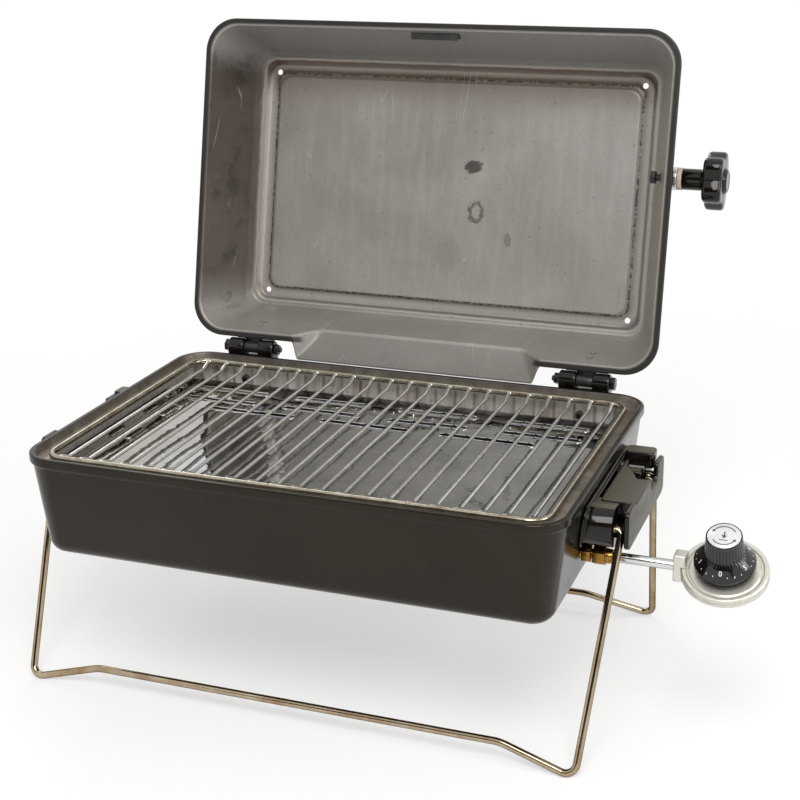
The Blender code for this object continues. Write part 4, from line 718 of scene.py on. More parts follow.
def metal(name, dark, light, rough, grain=(1, 1, 1), scale=90, strength=0.08, stain=None,
          metallic=1.0, rim=1.0):
    # plated or plain metal: cloudy between two colours, its grain stretched one way, with a stain
    # (colour, start, stop); rim is how bright it is where it turns away
    n = Nodes(name)
    colour = n.patchy([(0.3, dark), (0.7, light)], scale, 5, 0.6, 0.3, stretch=grain)
    roughness = n.patchy([(0.3, rough[0]), (0.7, rough[1])], scale * 2.6, 4, 0.6, stretch=grain)
    if stain is not None:
        shade, start, stop = stain
        share = n.patchy([(start, 0.0), (stop, 0.75)], scale * 0.8, 6, 0.7, 0.5)
        colour = n.mix(share, colour, shade)
    n.fixed(Metallic=metallic, Specular_Tint=(rim, rim, rim))
    fine = n.noise(scale * 5, 3, 0.6, stretch=grain)
    return n.done(colour, roughness, n.bump(fine, strength, 0.0002))


def plateMirror():
    # bright pressed sheet: nearly a mirror, gently rippled, with grease haze and a burnt middle
    n = Nodes("plateMirror")
    haze = n.noise(22, 5, 0.6, 0.6)
    ripple = n.noise(26, 2, 0.4, 0.8, stretch=(1.0, 1.7, 1.0))
    colour = n.ramp(haze, [(0.3, (0.44, 0.45, 0.465)), (0.7, (0.64, 0.655, 0.67))])
    warm = n.ramp(haze, [(0.3, (0.35, 0.335, 0.30)), (0.7, (0.46, 0.445, 0.41))])
    fromBurn = n.mapped(tuple(-rimMiddle - np.array([-0.055, 0.0, 0.0])), stretch=(1, 1, 0))
    burnt = n.math("MULTIPLY_ADD", n.noise(30, 4, 0.6), 0.05, n.length(fromBurn))
    spots = n.patchy([(0.62, 0.0), (0.72, 0.55)], 80, 6, 0.75, 0.4)
    colour = n.layered(colour, (n.between(n.fromRim()[0], -0.10, -0.16), warm),
                       (n.between(burnt, 0.125, 0.055, 0, 0.75), (0.22, 0.215, 0.205)),
                       (spots, (0.16, 0.13, 0.10)))
    roughness = n.ramp(haze, [(0.35, 0.015), (0.75, 0.06)])
    normal = n.bump(ripple, 0.10, 0.0030, n.bump(n.noise(90, 3, 0.5, 0.5), 0.05, 0.0004))
    n.fixed(Metallic=1.0)
    return n.done(colour, roughness, normal)


def plain(name, colour, rough):
    # matt paint, fibre or rubber, unevenly dark
    n = Nodes(name)
    tone = n.noise(220, 5, 0.7)
    darker = tuple(part * 0.72 for part in colour)
    roughness = n.ramp(tone, [(0.3, rough), (0.8, min(1.0, rough + 0.12))])
    return n.done(n.ramp(tone, [(0.3, darker), (0.65, colour)]), roughness,
                  n.bump(tone, 0.2, 0.0002))


finish = {
    "enamel": blackEnamel(),
    "ledge": rimMetal(),
    "inside": fireboxInside(),
    "lidInside": lidInside(lidSizes),
    "plastic": glossPlastic(),
    # painted sheen: the handles' upward faces and outer flange take this lighter matt grey-brown
    "topSheenPlastic": glossPlastic("topSheenPlastic", (0.080, 0.071, 0.052), (0.42, 0.56), 0.3),
    "strap": metal("strapSteel", (0.024, 0.022, 0.020), (0.060, 0.056, 0.050), (0.34, 0.48),
                   metallic=0.5),
    "chrome": metal("wireChrome", (0.78, 0.77, 0.74), (0.96, 0.95, 0.92), (0.12, 0.22),
                    scale=140, stain=((0.36, 0.29, 0.22), 0.60, 0.74), metallic=0.88, rim=0.15),
    "frameRod": metal("frameChrome", (0.27, 0.240, 0.180), (0.46, 0.430, 0.350), (0.16, 0.30),
                      scale=70, stain=((0.20, 0.12, 0.07), 0.50, 0.68)),
    "darkZinc": metal("darkenedZinc", (0.030, 0.028, 0.026), (0.085, 0.082, 0.078),
                      (0.18, 0.32), metallic=0.85),
    "mirror": plateMirror(),
    "zinc": metal("zincPlate", (0.46, 0.47, 0.48), (0.68, 0.69, 0.70), (0.22, 0.36)),
    "tube": metal("tubePlate", (0.50, 0.52, 0.51), (0.70, 0.72, 0.71), (0.12, 0.22),
                  (0.2, 1, 1), rim=0.2),
    "leg": metal("legPlate", (0.33, 0.240, 0.138), (0.53, 0.45, 0.335), (0.08, 0.16),
                 (1, 1, 0.4), 40, stain=((0.28, 0.155, 0.065), 0.50, 0.70), rim=0.0),
    "brass": metal("brassTurned", (0.21, 0.105, 0.022), (0.40, 0.225, 0.052), (0.18, 0.30),
                   stain=((0.16, 0.09, 0.03), 0.55, 0.70)),
    "cast": metal("dieCast", (0.60, 0.58, 0.51), (0.72, 0.70, 0.63), (0.34, 0.46),
                  scale=260, strength=0.25, metallic=0.7, rim=0.5),
    "burner": metal("burnerSteel", (0.20, 0.17, 0.15), (0.34, 0.31, 0.28), (0.40, 0.6),
                    stain=((0.16, 0.08, 0.04), 0.50, 0.66)),
    "fibre": plain("fibreWasher", (0.66, 0.55, 0.44), 0.75),
    "rubber": plain("rubber", (0.020, 0.020, 0.020), 0.7),
    "label": metal("labelFoil", (0.62, 0.63, 0.64), (0.70, 0.71, 0.72), (0.30, 0.40),
                   scale=300, metallic=0.25),
    "mark": plain("markPaint", (0.78, 0.76, 0.72), 0.5),
    "ink": plain("labelInk", (0.10, 0.10, 0.11), 0.5),
    "dial": glossPlastic("dialPlastic", (0.005, 0.005, 0.006), (0.06, 0.12), 0.6),
}
print("finishes made:", len(finish))

# the finish of each CAD part that isn't rebuilt below, by its material slot
slotFinish = {
    "black_enamel": "enamel", "lid_enamel": "lidInside", "black_plastic": "plastic",
    "dark_steel": "strap", "chrome": "chrome", "bright_steel": "mirror", "gold_zinc": "leg",
    "burner_steel": "burner", "brass": "brass", "die_cast": "cast", "rubber": "rubber",
    "fibre": "fibre", "label": "label", "zinc": "zinc",
}
for row in frame["record"]["subparts"]:
    node = frame["nodes"][row["node"]]
    node.data.materials.clear()
    node.data.materials.append(finish[slotFinish[row["material_slot"]]])
print("CAD parts finished")


def doubled(path, thickness):
    # both faces of a bent sheet as one path: each point moved half the thickness along the
    # path's normal, out along one side and back along the other
    forward = unit(np.gradient(path, axis=0))
    across = np.stack([-forward[:, 1], forward[:, 0]], -1) * thickness / 2
    return np.concatenate([path - across, (path + across)[::-1]])


def ringStack(section, ring):
    # one ring for each (u, z) of a section
    return np.stack([ring(inset, level) for inset, level in section])


fireboxSizes = {
    "sheet": 0.9,
    "corner": 30,
    "leastCorner": 9,
    "lip": 4.2,
    "lipDrop": 6.9,
    "ledgeStart": 5.6,
    "ledgeReach": 17.9,
    "ledgeDepth": 7.5,
    "wallInset": 3.0,
    "wallTop": 9.0,
    "draft": 0.116,
    "depth": 90,
    "floorRadius": 13,
    "floorInset": 70,
    "ventPitch": 70,
    "ventRow": 62,
    # cutters: radius and half depth
    "ventHole": (7, 6),
    "pivotHole": (3.5, 6),
    "gasHole": (5.3, 8),
    "screwHole": (2.4, 6),
    "bracketScrewLevel": -22.0,
    "handleScrew": (44, -40),
    "burnerScrewX": -80,
}


def wallInset(level):
    s = fireboxSizes
    return s["wallInset"] + s["draft"] * (-s["wallTop"] - level)


def wallFace(half, level):
    # outer face of a firebox wall at a height
    return half - wallInset(level) + fireboxSizes["sheet"] / 2


def makeFirebox(s):
    # rounded rectangles of inset u(s) stacked at heights z(s); (u, z) is the sheet's section
    half = s["sheet"] / 2
    floor = -s["depth"] + half
    section = [(s["floorInset"], floor), (wallInset(floor), floor),
               (s["wallInset"], -s["wallTop"]), (half, -s["lipDrop"]), (half, -half),
               (s["lip"], -half), (s["ledgeStart"], -s["ledgeDepth"]),
               (s["ledgeReach"], -s["ledgeDepth"])]
    middle = softened(section, [0, s["floorRadius"], 2.2, 1.1, 1.3, 1.3, 1.6, 0], 7)
    both = doubled(middle, s["sheet"])

    def ring(inset, level):
        corner = max(s["corner"] - inset, s["leastCorner"])
        return atLevel(roundedOutline(halfX - inset, halfY - inset, corner, 12), level)

    enamel, ledge, inside = 0, 1, 2
    ledgeEdge = len(middle) - 1
    centre = (both[:-1] + both[1:]) / 2
    upper = np.arange(len(centre)) > ledgeEdge
    onLedge = upper & (centre[:, 1] > -s["wallTop"]) & (centre[:, 0] > s["lip"] - 0.2)
    paint = np.where(upper, np.where(onLedge, ledge, enamel), inside)
    paint[ledgeEdge] = ledge
    body = shape("firebox", patch(ringStack(both, ring), paint=paint))
    up, ahead, sideways = (0, 0, 1), (0, 1, 0), (1, 0, 0)
    cutters = [hole((column * s["ventPitch"], row * s["ventRow"], floor), up, *s["ventHole"])
               for column in (-2, -1, 0, 1, 2) for row in (-1, 1)]
    wall = halfX - wallInset(legPivot[2])
    cutters += [hole((side * wall, hand * legPivot[1], legPivot[2]), sideways, *s["pivotHole"])
                for side in (-1, 1) for hand in (-1, 1)]
    gasY, gasZ = gasLine
    cutters.append(hole((halfX - wallInset(gasZ), gasY, gasZ), sideways, *s["gasHole"]))
    screwY, screwZ = s["handleScrew"]
    bracketZ = s["bracketScrewLevel"]
    for side in (-1, 1):
        places = [((side * hingeX, halfY - wallInset(bracketZ), bracketZ), ahead)]
        places += [((side * (halfX - wallInset(screwZ)), hand * screwY, screwZ), sideways)
                   for hand in (-1, 1)]
        cutters += [hole(place, way, *s["screwHole"]) for place, way in places]
    cutters.append(hole((s["burnerScrewX"], 0, floor), up, *s["screwHole"]))
    pierced(body, *cutters)
    return finishPiece(body, "fireboxShell", "grill",
                       ("enamel", "ledge", "inside"), ("firebox",), 40)


makeFirebox(fireboxSizes)
print("firebox made")


def lidWall(half, level):
    # outer face of a side wall of the lid at a height
    s = lidSizes
    middle = half + s["overhang"] - s["flange"] - s["draft"] * (level - s["seat"])
    return middle + s["sheet"] * 0.55


def smooth(value):
    value = np.clip(value, 0, 1)
    return value * value * (3 - 2 * value)


def lidRing(inset, level, s, face):
    # rounded rectangle; its rear side swells to the vent's y where |x| is less than the vent's half
    # length; face is 1 outside and -1 inside the sheet
    half = np.array([halfX, halfY]) + s["overhang"] - inset
    radius = max(s["corner"] - inset * 0.55, 12)
    flat = roundedOutline(*half, radius, 14)
    share = np.clip(1 - (level - s["seat"]) / s["ventRise"], 0, 1)
    foot = s["ventHalf"] - s["ventTaper"] * (1 - share)
    edge = halfY + s["ventReach"] - 0.6
    lip = max(0, s["flange"] - inset)
    if lip > 0:
        ventY = edge + face * s["ventSkin"] * max(0, 1 - lip / 1.5) + lip * 0.30
    else:
        ventY = half[1] + (edge + face * s["ventSkin"] - half[1]) * share
    # x runs in from the corner to the middle, closest together where the vent's side slopes
    offsets = np.concatenate([np.linspace(half[0] - radius, foot + 5, 6)[1:-1],
                              foot + 5 - 12 * np.linspace(0, 1, 13),
                              np.linspace(foot - 7, 0, 12)[1:]])
    rise = smooth((foot + 3 - offsets) / 8)
    x = np.concatenate([offsets, -offsets[-2::-1]])
    y = half[1] + (ventY - half[1]) * np.concatenate([rise, rise[-2::-1]])
    quarter = len(flat) // 4
    return atLevel(np.concatenate([flat[:quarter], np.column_stack([x, y]), flat[quarter:]]), level)


def makeLid(s):
    # the same build as the firebox, shut, then swung open; the panel stands below a raised bead
    seat, depth = s["seat"], s["depth"]
    shoulderZ = depth - s["shoulderFall"]
    shoulder = s["flange"] + s["draft"] * (shoulderZ - seat)
    inset, fall = s["panel"]
    section = [(inset, depth - fall)]
    section += [(shoulder + run, depth - fall) for run, fall in s["bead"]]
    section += [(shoulder - 0.2, shoulderZ + 1),
                (s["flange"] + s["draft"] * s["ventRise"], seat + s["ventRise"]),
                (s["flange"], seat), (-0.3, seat), (-0.6, seat + 2.2)]
    middle = softened(section, s["bends"], 8)
    high = np.argmin(np.abs(middle[:, 1] - seat - s["ventRise"]))
    middle = np.concatenate([middle[:high], spaced(middle[high:], 3.0)])
    both = doubled(middle, s["sheet"])
    count = len(middle)
    paint = np.where(np.arange(len(both) - 1) < count - 1, 0, 1)
    rings = [lidRing(inset, level, s, 1) for inset, level in both[:count]]
    rings += [lidRing(inset, level, s, -1) for inset, level in both[count:]]
    shell = shape("lid", *opened(patch(np.stack(rings), paint=paint)))
    x, y = s["holes"]
    cutters = [hole((sx * x, sy * y, depth - 2), (0, 0, 1), *s["panelHole"])
               for sx in (-1, 1) for sy in (-1, 1)]
    knobY, knobZ = lidKnobPlace
    cutters.append(hole((lidWall(halfX, knobZ), knobY, knobZ), (1, 0, 0), *s["knobHole"]))
    outward = (0, 1, s["draft"])
    cutters += [hole((side * hingeX, lidWall(halfY, level), level), outward, *s["rivetHole"])
                for side in (-1, 1) for level in rivetLevels]
    pierced(shell, *opened(*cutters))
    return finishPiece(shell, "lidShell", "lid", ("enamel", "lidInside"),
                       ("lid",), 40)


makeLid(lidSizes)
print("lid made")

legSizes = {
    "radius": 3.0,
    "topX": 253.3,
    "footX": 240.5,
    "footY": 142,
    "rise": 17,
    "run": 62,
    "endX": 219.0,
    "ground": -206.85,
    "bends": (4, 9, 40),
}


def makeLeg(s, hand, name):
    # one bent wire in the plane of the x axis and its arms
    pivot = np.array([legPivot[1], legPivot[2]]) * (hand, 1)
    footZ = s["ground"]
    for _ in range(4):  # the foot is lowered until its bend meets the ground
        foot = np.array([hand * s["footY"], footZ])
        arm = unit(foot - pivot)
        raised = foot - arm * s["rise"]
        left = [(-s["endX"], *pivot), (-s["topX"], *pivot), (-s["footX"], *foot),
                (-s["footX"] + s["run"], *raised)]
        points = left + [(-x, y, z) for x, y, z in left[::-1]]
        path = softened(points, [0, *s["bends"], *s["bends"][::-1], 0], 12)
        footZ -= path[:, 2].min() - s["ground"]
    wire = tube(spaced(path, 14), s["radius"], (0, -arm[1], arm[0]), 28)
    return piece(name + "Wire", name, ("leg",), [wire], (name,), 60)


makeLeg(legSizes, -1, "front_leg")
makeLeg(legSizes, 1, "rear_leg")
print("legs made")

grateSizes = {
    "rod": 2.5,
    "wire": 1.6,
    "inset": 17.2,
    "corner": 16,
    "level": -4.25,
    "dip": 4.0,
    "pitch": wirePitch,
    "count": 22,
    # a wire's points: how far in from the frame's middle line; then its bend radii
    "points": (0.4, 4.8, 15),
    "bends": [0, 3, 9, 9, 3, 0],
    # a weld's radii, and how far in and up it lies
    "weld": (2.2, 2.0, 1.95),
    "weldPlace": (2.2, 0.1),
}


def ball(middle, radii):
    # an ellipsoid: radii (cos b cos a, cos b sin a, sin b) about a middle
    b = np.linspace(-math.pi / 2, math.pi / 2, 9)
    sheet = lathe(onCircle(b), 14)
    return {**sheet, "grid": sheet["grid"] * np.array(radii, float) + np.array(middle, float)}


def makeGrate(s):
    # a rounded frame of round rod; each cross wire is kinked down inside it and welded on
    wide, deep, level = halfX - s["inset"], halfY - s["inset"], s["level"]
    low = level - s["dip"]
    outline = atLevel(roundedOutline(wide, deep, s["corner"], 12), level)
    patches = [{**tube(outline, s["rod"], (0, 0, 1), 24, True), "paint": 1}]
    end, bend, inner = s["points"]
    weldIn, weldUp = s["weldPlace"]
    for x in (np.arange(s["count"]) - (s["count"] - 1) / 2) * s["pitch"]:
        half = [(x, deep - end, level), (x, deep - bend, level), (x, deep - inner, low)]
        path = softened([(a, -b, c) for a, b, c in half] + half[::-1], s["bends"], 6)
        patches.append(tube(spaced(path, 24), s["wire"], (1, 0, 0), 18))
        patches += [ball((x, hand * (deep - weldIn), level + weldUp), s["weld"])
                    for hand in (-1, 1)]
    return piece("grateWires", "cooking_grate", ("chrome", "frameRod"), patches,
                 ("cooking_grate",), 60)


makeGrate(grateSizes)
print("grate made")

plateSizes = {
    "level": -21.0,
    "sheet": 0.8,
    "inset": 26,
    "flange": 7.6,
    "wave": 0.35,
    "slotWidth": 7.4,
    "lip": 0.85,
    # rows of slots along x: length, pitch, gap from the right end, gap from the rear edge
    "slotRows": [(76, 103, 17, 23), (76, 103, 17, 50.5), (88, 113, 52, 71.5)],
    # slots at the left end: size along x and y, gap from the end, gaps from the rear edge
    "crossSlots": ((6, 28), 11, (88.5, 150.5)),
    "bend": 2.2,
    "grid": 3.0,
    # the folded front and rear edges: depth, gap from the ends, faces in from the sheet's edge
    "skirt": (5, 14, (0.05, 0.75)),
}


def swell(x, y, wide, deep, s):
    # slow waves: a sine across times a cosine along, plus a slanting sine; they fade out at the
    # sheet's edges
    wave = (np.sin(x / 23 + np.sin(y / 31) * 1.4) * np.cos(y / 27 + x / 90)
            + 0.6 * np.sin((x + 1.7 * y) / 41 + 1))
    fade = smooth((wide - 6 - np.abs(x)) / 12) * smooth((deep - 2 - np.abs(y)) / 10)
    return wave * s["wave"] * fade


def slotPlaces(wide, deep, s):
    # half size and middle of each slot
    places = []
    for length, pitch, end, row in s["slotRows"]:
        places += [(length / 2, s["slotWidth"] / 2, x, deep - row)
                   for x in np.arange(wide - end - length / 2, -wide, -pitch)
                   if x - length / 2 > -wide + 0.3 * end]
    (across, ahead), gap, rows = s["crossSlots"]
    return places + [(across / 2, ahead / 2, -wide + gap, deep - row) for row in rows]


def makePlate(s):
    # z(x, y) = level + swell; x runs along a section whose ends turn up; each slot has a rolled lip
    wide, deep, level = halfX - s["inset"], halfY - s["inset"], s["level"]
    end = wide - s["sheet"] / 2
    section = [(-end, level + s["flange"]), (-end, level), (end, level), (end, level + s["flange"])]
    steps = 6
    middle = softened(section, [0, s["bend"], s["bend"], 0], steps)
    flat = spaced(middle[steps + 1:steps + 3], s["grid"])[1:-1]
    middle = np.concatenate([middle[:steps + 2], flat, middle[steps + 2:]])
    both = doubled(middle, s["sheet"])
    y = np.concatenate([[-deep], np.arange(-deep + s["grid"], deep, s["grid"]), [deep]])
    x, z = both[:, :1], both[:, 1:]
    height = z + swell(x, y, wide, deep, s)
    grid = np.stack([*np.broadcast_arrays(x, y, height)], -1)
    # each row goes round both faces of the sheet, and caps close its front and rear edges
    body = shape("plate", patch(np.swapaxes(grid, 0, 1)))
    cutters, lips = [], []
    for halfLength, halfWidth, x, y in slotPlaces(wide, deep, s):
        bend = min(halfLength, halfWidth) - 0.05
        outline = roundedOutline(halfLength, halfWidth, bend, 8, (x, y))
        cutters.append(prism(outline, level - 6, level + 6, 0.0, 1))
        lift = level + s["sheet"] / 2 + swell(outline[:, 0], outline[:, 1], wide, deep, s)
        path = atLevel(outline, lift)
        path = spaced(np.concatenate([path, path[:1]]), s["grid"])[:-1]
        lips.append(tube(path, s["lip"], (0, 0, 1), 10, True))
    pierced(body, *cutters)
    drop, gap, faces = s["skirt"]
    top, foot = level + 0.2, level - drop
    for hand in (-1, 1):
        outer, inner = [hand * (deep - face) for face in faces]
        lips.append(slabX([(outer, top), (outer, foot), (inner, foot), (inner, top)],
                          -wide + gap, wide - gap, 0.1))
    body = joined(body, shape("lips", *lips))
    return finishPiece(body, "heatPlateSheet", "heat_plate", ("mirror",),
                       ("heat_plate",), 35)


makePlate(plateSizes)
print("heat plate made")

hingeSizes = {
    "knuckle": 8.5,
    "strapHalf": 7.5,
    "knuckleWidth": 16,
    "bore": 2.9,
    "gap": 0.3,
    "under": -8.6,
    "foot": -46,
    "barrel": 5.2,
    "strap": 1.5,
    "reach": 34,
    "bolt": 2.5,
    "screw": 2.0,
    # radius and height
    "boltHead": (6.2, 4.2),
    "nut": (5.4, 4.4),
    "screwNut": (4.2, 3.2),
    # profiles (radius, height): a rivet from its domed head to its set end, and the screw's head
    "rivet": [(0, 1.6), (1.2, 1.5), (2.4, 1.05), (3.2, 0.3), (3.4, 0), (1.6, 0), (1.6, -3.4),
              (2.4, -3.4), (2.8, -3.7), (2.2, -4.2), (0, -4.3)],
    "screwHead": [(0, 2.5), (1.6, 2.4), (3.0, 1.7), (4.0, 0.5), (4.2, 0), (2, 0), (2, -8), (0, -8)],
}


def makeBracket(s, centre, word):
    # moulded wall bracket with two knuckles on necks, and a bar that stops the open strap
    pinY, pinZ = hingePin[1:]
    half = s["strapHalf"] + s["gap"] + s["knuckleWidth"]
    under, foot, radius = s["under"], s["foot"], s["knuckle"]
    lowY = wallFace(halfY, foot) + s["gap"]
    highY = wallFace(halfY, under) + s["gap"] + 3.4
    armTop = pinZ - s["barrel"] - 1.2
    outerY = pinY + radius - 1
    base = [(halfY - 0.6, under), (wallFace(halfY, -11) + s["gap"], -11), (lowY, foot),
            (lowY + 3, foot), (highY, under - 9), (outerY - 4, under - 4), (outerY, under + 2),
            (outerY, armTop), (halfY + 1.6, armTop), (halfY + 1.6, under)]
    patches = [slabX(base, centre - half, centre + half, 0.9,
                     [0.2, 0.5, 0.8, 1.2, 5, 3, 3, 1, 1, 0.3])]
    neck = [(pinY - 6.6, armTop - 1), (pinY + 6.6, armTop - 1), (pinY + 7.4, pinZ - 3),
            (pinY - 7.4, pinZ - 3)]
    for hand in (-1, 1):
        low, high = sorted((centre + hand * (s["strapHalf"] + s["gap"]), centre + hand * half))
        section = [(s["bore"], low), (radius - 1.2, low), (radius, low + 1.2),
                   (radius, high - 1.2), (radius - 1.2, high), (s["bore"], high)]
        patches.append(revolvedX(section, pinY, pinZ, [0.3, 0.8, 0.8, 0.8, 0.8, 0.3], 3))
        patches.append(slabX(neck, low + 0.4, high - 0.4, 0.4, 0.5))
    lean = np.array([-math.cos(openAngle), math.sin(openAngle)])
    out = np.array([math.sin(openAngle), math.cos(openAngle)])
    near = np.array([pinY, pinZ]) + out * (s["barrel"] + s["gap"])
    stop = [near, near + lean * 8.5, near + lean * 8.5 + out * 2.2, near + out * 2.2]
    patches.append(slabX(stop, centre - half + 4, centre + half - 4, 0.4, 0.4))
    piece(f"hingeBracket{word}", "grill", ("plastic",), patches,
          (f"hinge_bracket_{word}",), 40)


def makeStrap(s, centre, word):
    # steel strap curled round the bolt and riveted up the lid's rear wall
    pinY, pinZ = hingePin[1:]
    half, thick = s["strapHalf"], s["strap"]
    top = pinZ + s["barrel"]
    across = thick * math.hypot(1, lidSizes["draft"])
    wallY = [lidWall(halfY, level) + s["gap"] + across / 2 for level in (top, s["reach"])]
    path = [(pinY - 0.5, top - thick / 2), (wallY[0], top - thick / 2), (wallY[1], s["reach"])]
    leaf = slabX(doubled(softened(path, [0, 2.0, 0], 8), thick), centre - half, centre + half, 0.25)
    section = [(s["bore"], centre - half), (s["barrel"], centre - half),
               (s["barrel"], centre + half), (s["bore"], centre + half)]
    barrel = revolvedX(section, pinY, pinZ, 0.3, 3, 40)
    piece(f"hingeStrap{word}", "lid", ("strap",), opened(leaf, barrel),
          (f"hinge_strap_{word}",), 40)
    normal = unit(np.array([0, 1, lidSizes["draft"]]))
    for level, height in zip(("low", "high"), rivetLevels):
        place = np.array([centre, lidWall(halfY, height), height])
        outside = place + normal * (thick + 2 * s["gap"])
        piece(f"strapRivet{word}{level}", "lid", ("lidInside",),
              opened(along(solidLathe(s["rivet"], 28), outside, normal)),
              (f"strap_rivet_{word}_{level}",), 40)


def makeFixings(s, centre, side, word):
    # hinge bolt and its nut, then the screw through the firebox wall and its nut inside
    pinY, pinZ = hingePin[1:]
    gap = s["gap"]
    half = s["strapHalf"] + gap + s["knuckleWidth"]

    def fixing(kind, replaced, finishName, sheets, sharpAngle=30):
        piece(f"{kind}{word}", "grill", (finishName,), sheets, (f"{replaced}_{word}",),
              sharpAngle)

    face, tip = centre + side * (half + gap), centre - side * (half + 7)
    radius, high = s["boltHead"]
    fixing("hingeBolt", "hinge_bolt", "darkZinc",
           [rod(s["bolt"], (tip, pinY, pinZ), (face + side, pinY, pinZ), 24, 0.4),
            rod(radius, (face, pinY, pinZ), (face + side * high, pinY, pinZ), 6, 0.6)])
    face = centre - side * (half + gap)
    radius, high = s["nut"]
    fixing("hingeNut", "hinge_nut", "darkZinc",
           [rod(radius, (face, pinY, pinZ), (face - side * high, pinY, pinZ), 6, 0.5)])

    level = fireboxSizes["bracketScrewLevel"]
    foot, top = s["foot"], s["under"] - 9
    lowY = wallFace(halfY, foot) + gap + 3
    highY = wallFace(halfY, s["under"]) + gap + 3.4
    seat = lowY + (highY - lowY) * ((level - foot) / (top - foot)) - 1 + gap
    inner = wallFace(halfY, level) - fireboxSizes["sheet"]
    fixing("bracketScrew", "bracket_screw", "darkZinc",
           [along(solidLathe(s["screwHead"], 28), (centre, seat, level), (0, 1, 0)),
            rod(s["screw"], (centre, inner - 6, level), (centre, seat, level), 20, 0.3)], 40)
    face = inner - gap - 0.5
    radius, high = s["screwNut"]
    fixing("bracketNut", "bracket_nut", "burner",
           [rod(radius, (centre, face, level), (centre, face - high, level), 6, 0.4)])


for side, word in ((-1, "left"), (1, "right")):
    makeBracket(hingeSizes, side * hingeX, word)
    makeStrap(hingeSizes, side * hingeX, word)
    makeFixings(hingeSizes, side * hingeX, side, word)
print("hinges made")


def leanedX(sheet, level, limit, draft):
    # x grows by draft (z - level) where x is inside a limit, so that a face follows a sloping wall
    grid = sheet["grid"].copy()
    near = grid[..., 0] < limit
    grid[..., 0] += near * draft * (grid[..., 2] - level)
    return {**sheet, "grid": grid}


def paintUp(item, reach):
    # faces that look straight up, and those further out than reach, get the second finish: a lighter matt
    # grey-brown that paints sheen on the tops
    faces = item.data.polygons
    normals, middles = np.empty(len(faces) * 3), np.empty(len(faces) * 3)
    paints = np.zeros(len(faces), np.int32)
    for key, values in (("normal", normals), ("center", middles), ("material_index", paints)):
        faces.foreach_get(key, values)
    paints[normals.reshape(-1, 3)[:, 2] > 0.97] = 1
    paints[np.abs(middles.reshape(-1, 3)[:, 0] - rimMiddle[0]) > reach * mm] = 1
    faces.foreach_set("material_index", paints)


handleSizes = {
    "plateHalf": (78, 17.6),
    "plateMiddle": -33.4,
    "plate": 2.5,
    "boss": 16.6,
    "bossMiddle": -34.2,
    "bore": 3.4,
    "bossEnd": 248.8,
    "flange": (256.9, 261.1),
    "grip": [(232, -43), (260.6, -43), (260.6, 9), (250, 8.5), (246.5, 17), (241.5, 26), (237, 34),
             (235.5, 47), (232, 47)],
    "gripBends": [3, 2.4, 2, 2, 8, 8, 6, 2, 2],
    "gripLow": -38,
    "deck": (232, 260.6, -43, 36),
    "deckHeights": (-44, -31.5),
    "top": -20.0,
    "ear": -17.8,
    "notch": (10, 39, -32),
    # a boss's section from its bore out and round its rounded end: share of the way from bore to
    # rim, share of its length
    "bossSection": [(1, 0.0), (1, 0.01), (1, 0.97), (0.985, 0.99), (0.95, 1.0), (0.3, 1.0),
                    (0.02, 1.0), (0, 0.99), (0, 0.0)],
    "cheeks": ((34, 50), 248.4),
    "cheekLow": -46,
    # the outer flange's ends, foot, step beside the grip and bend radii
    "ends": (-69, 63),
    "foot": -50.4,
    "step": (-47, -44),
    "bends": [8, 8, 5, 3, 7, 7, 3, 2, 2, 5],
    # the block behind the grip, and its heights from the top
    "block": (12.3, 8.5, 3.5, 8, (243.3, 53.5)),
    "blockHeights": (-6, 8),
    # the web that stops each leg: y and z that a leg's arm runs, and how far the web's face
    # stands off the arm's middle line
    "legRun": (142, 170, 3.45),
}


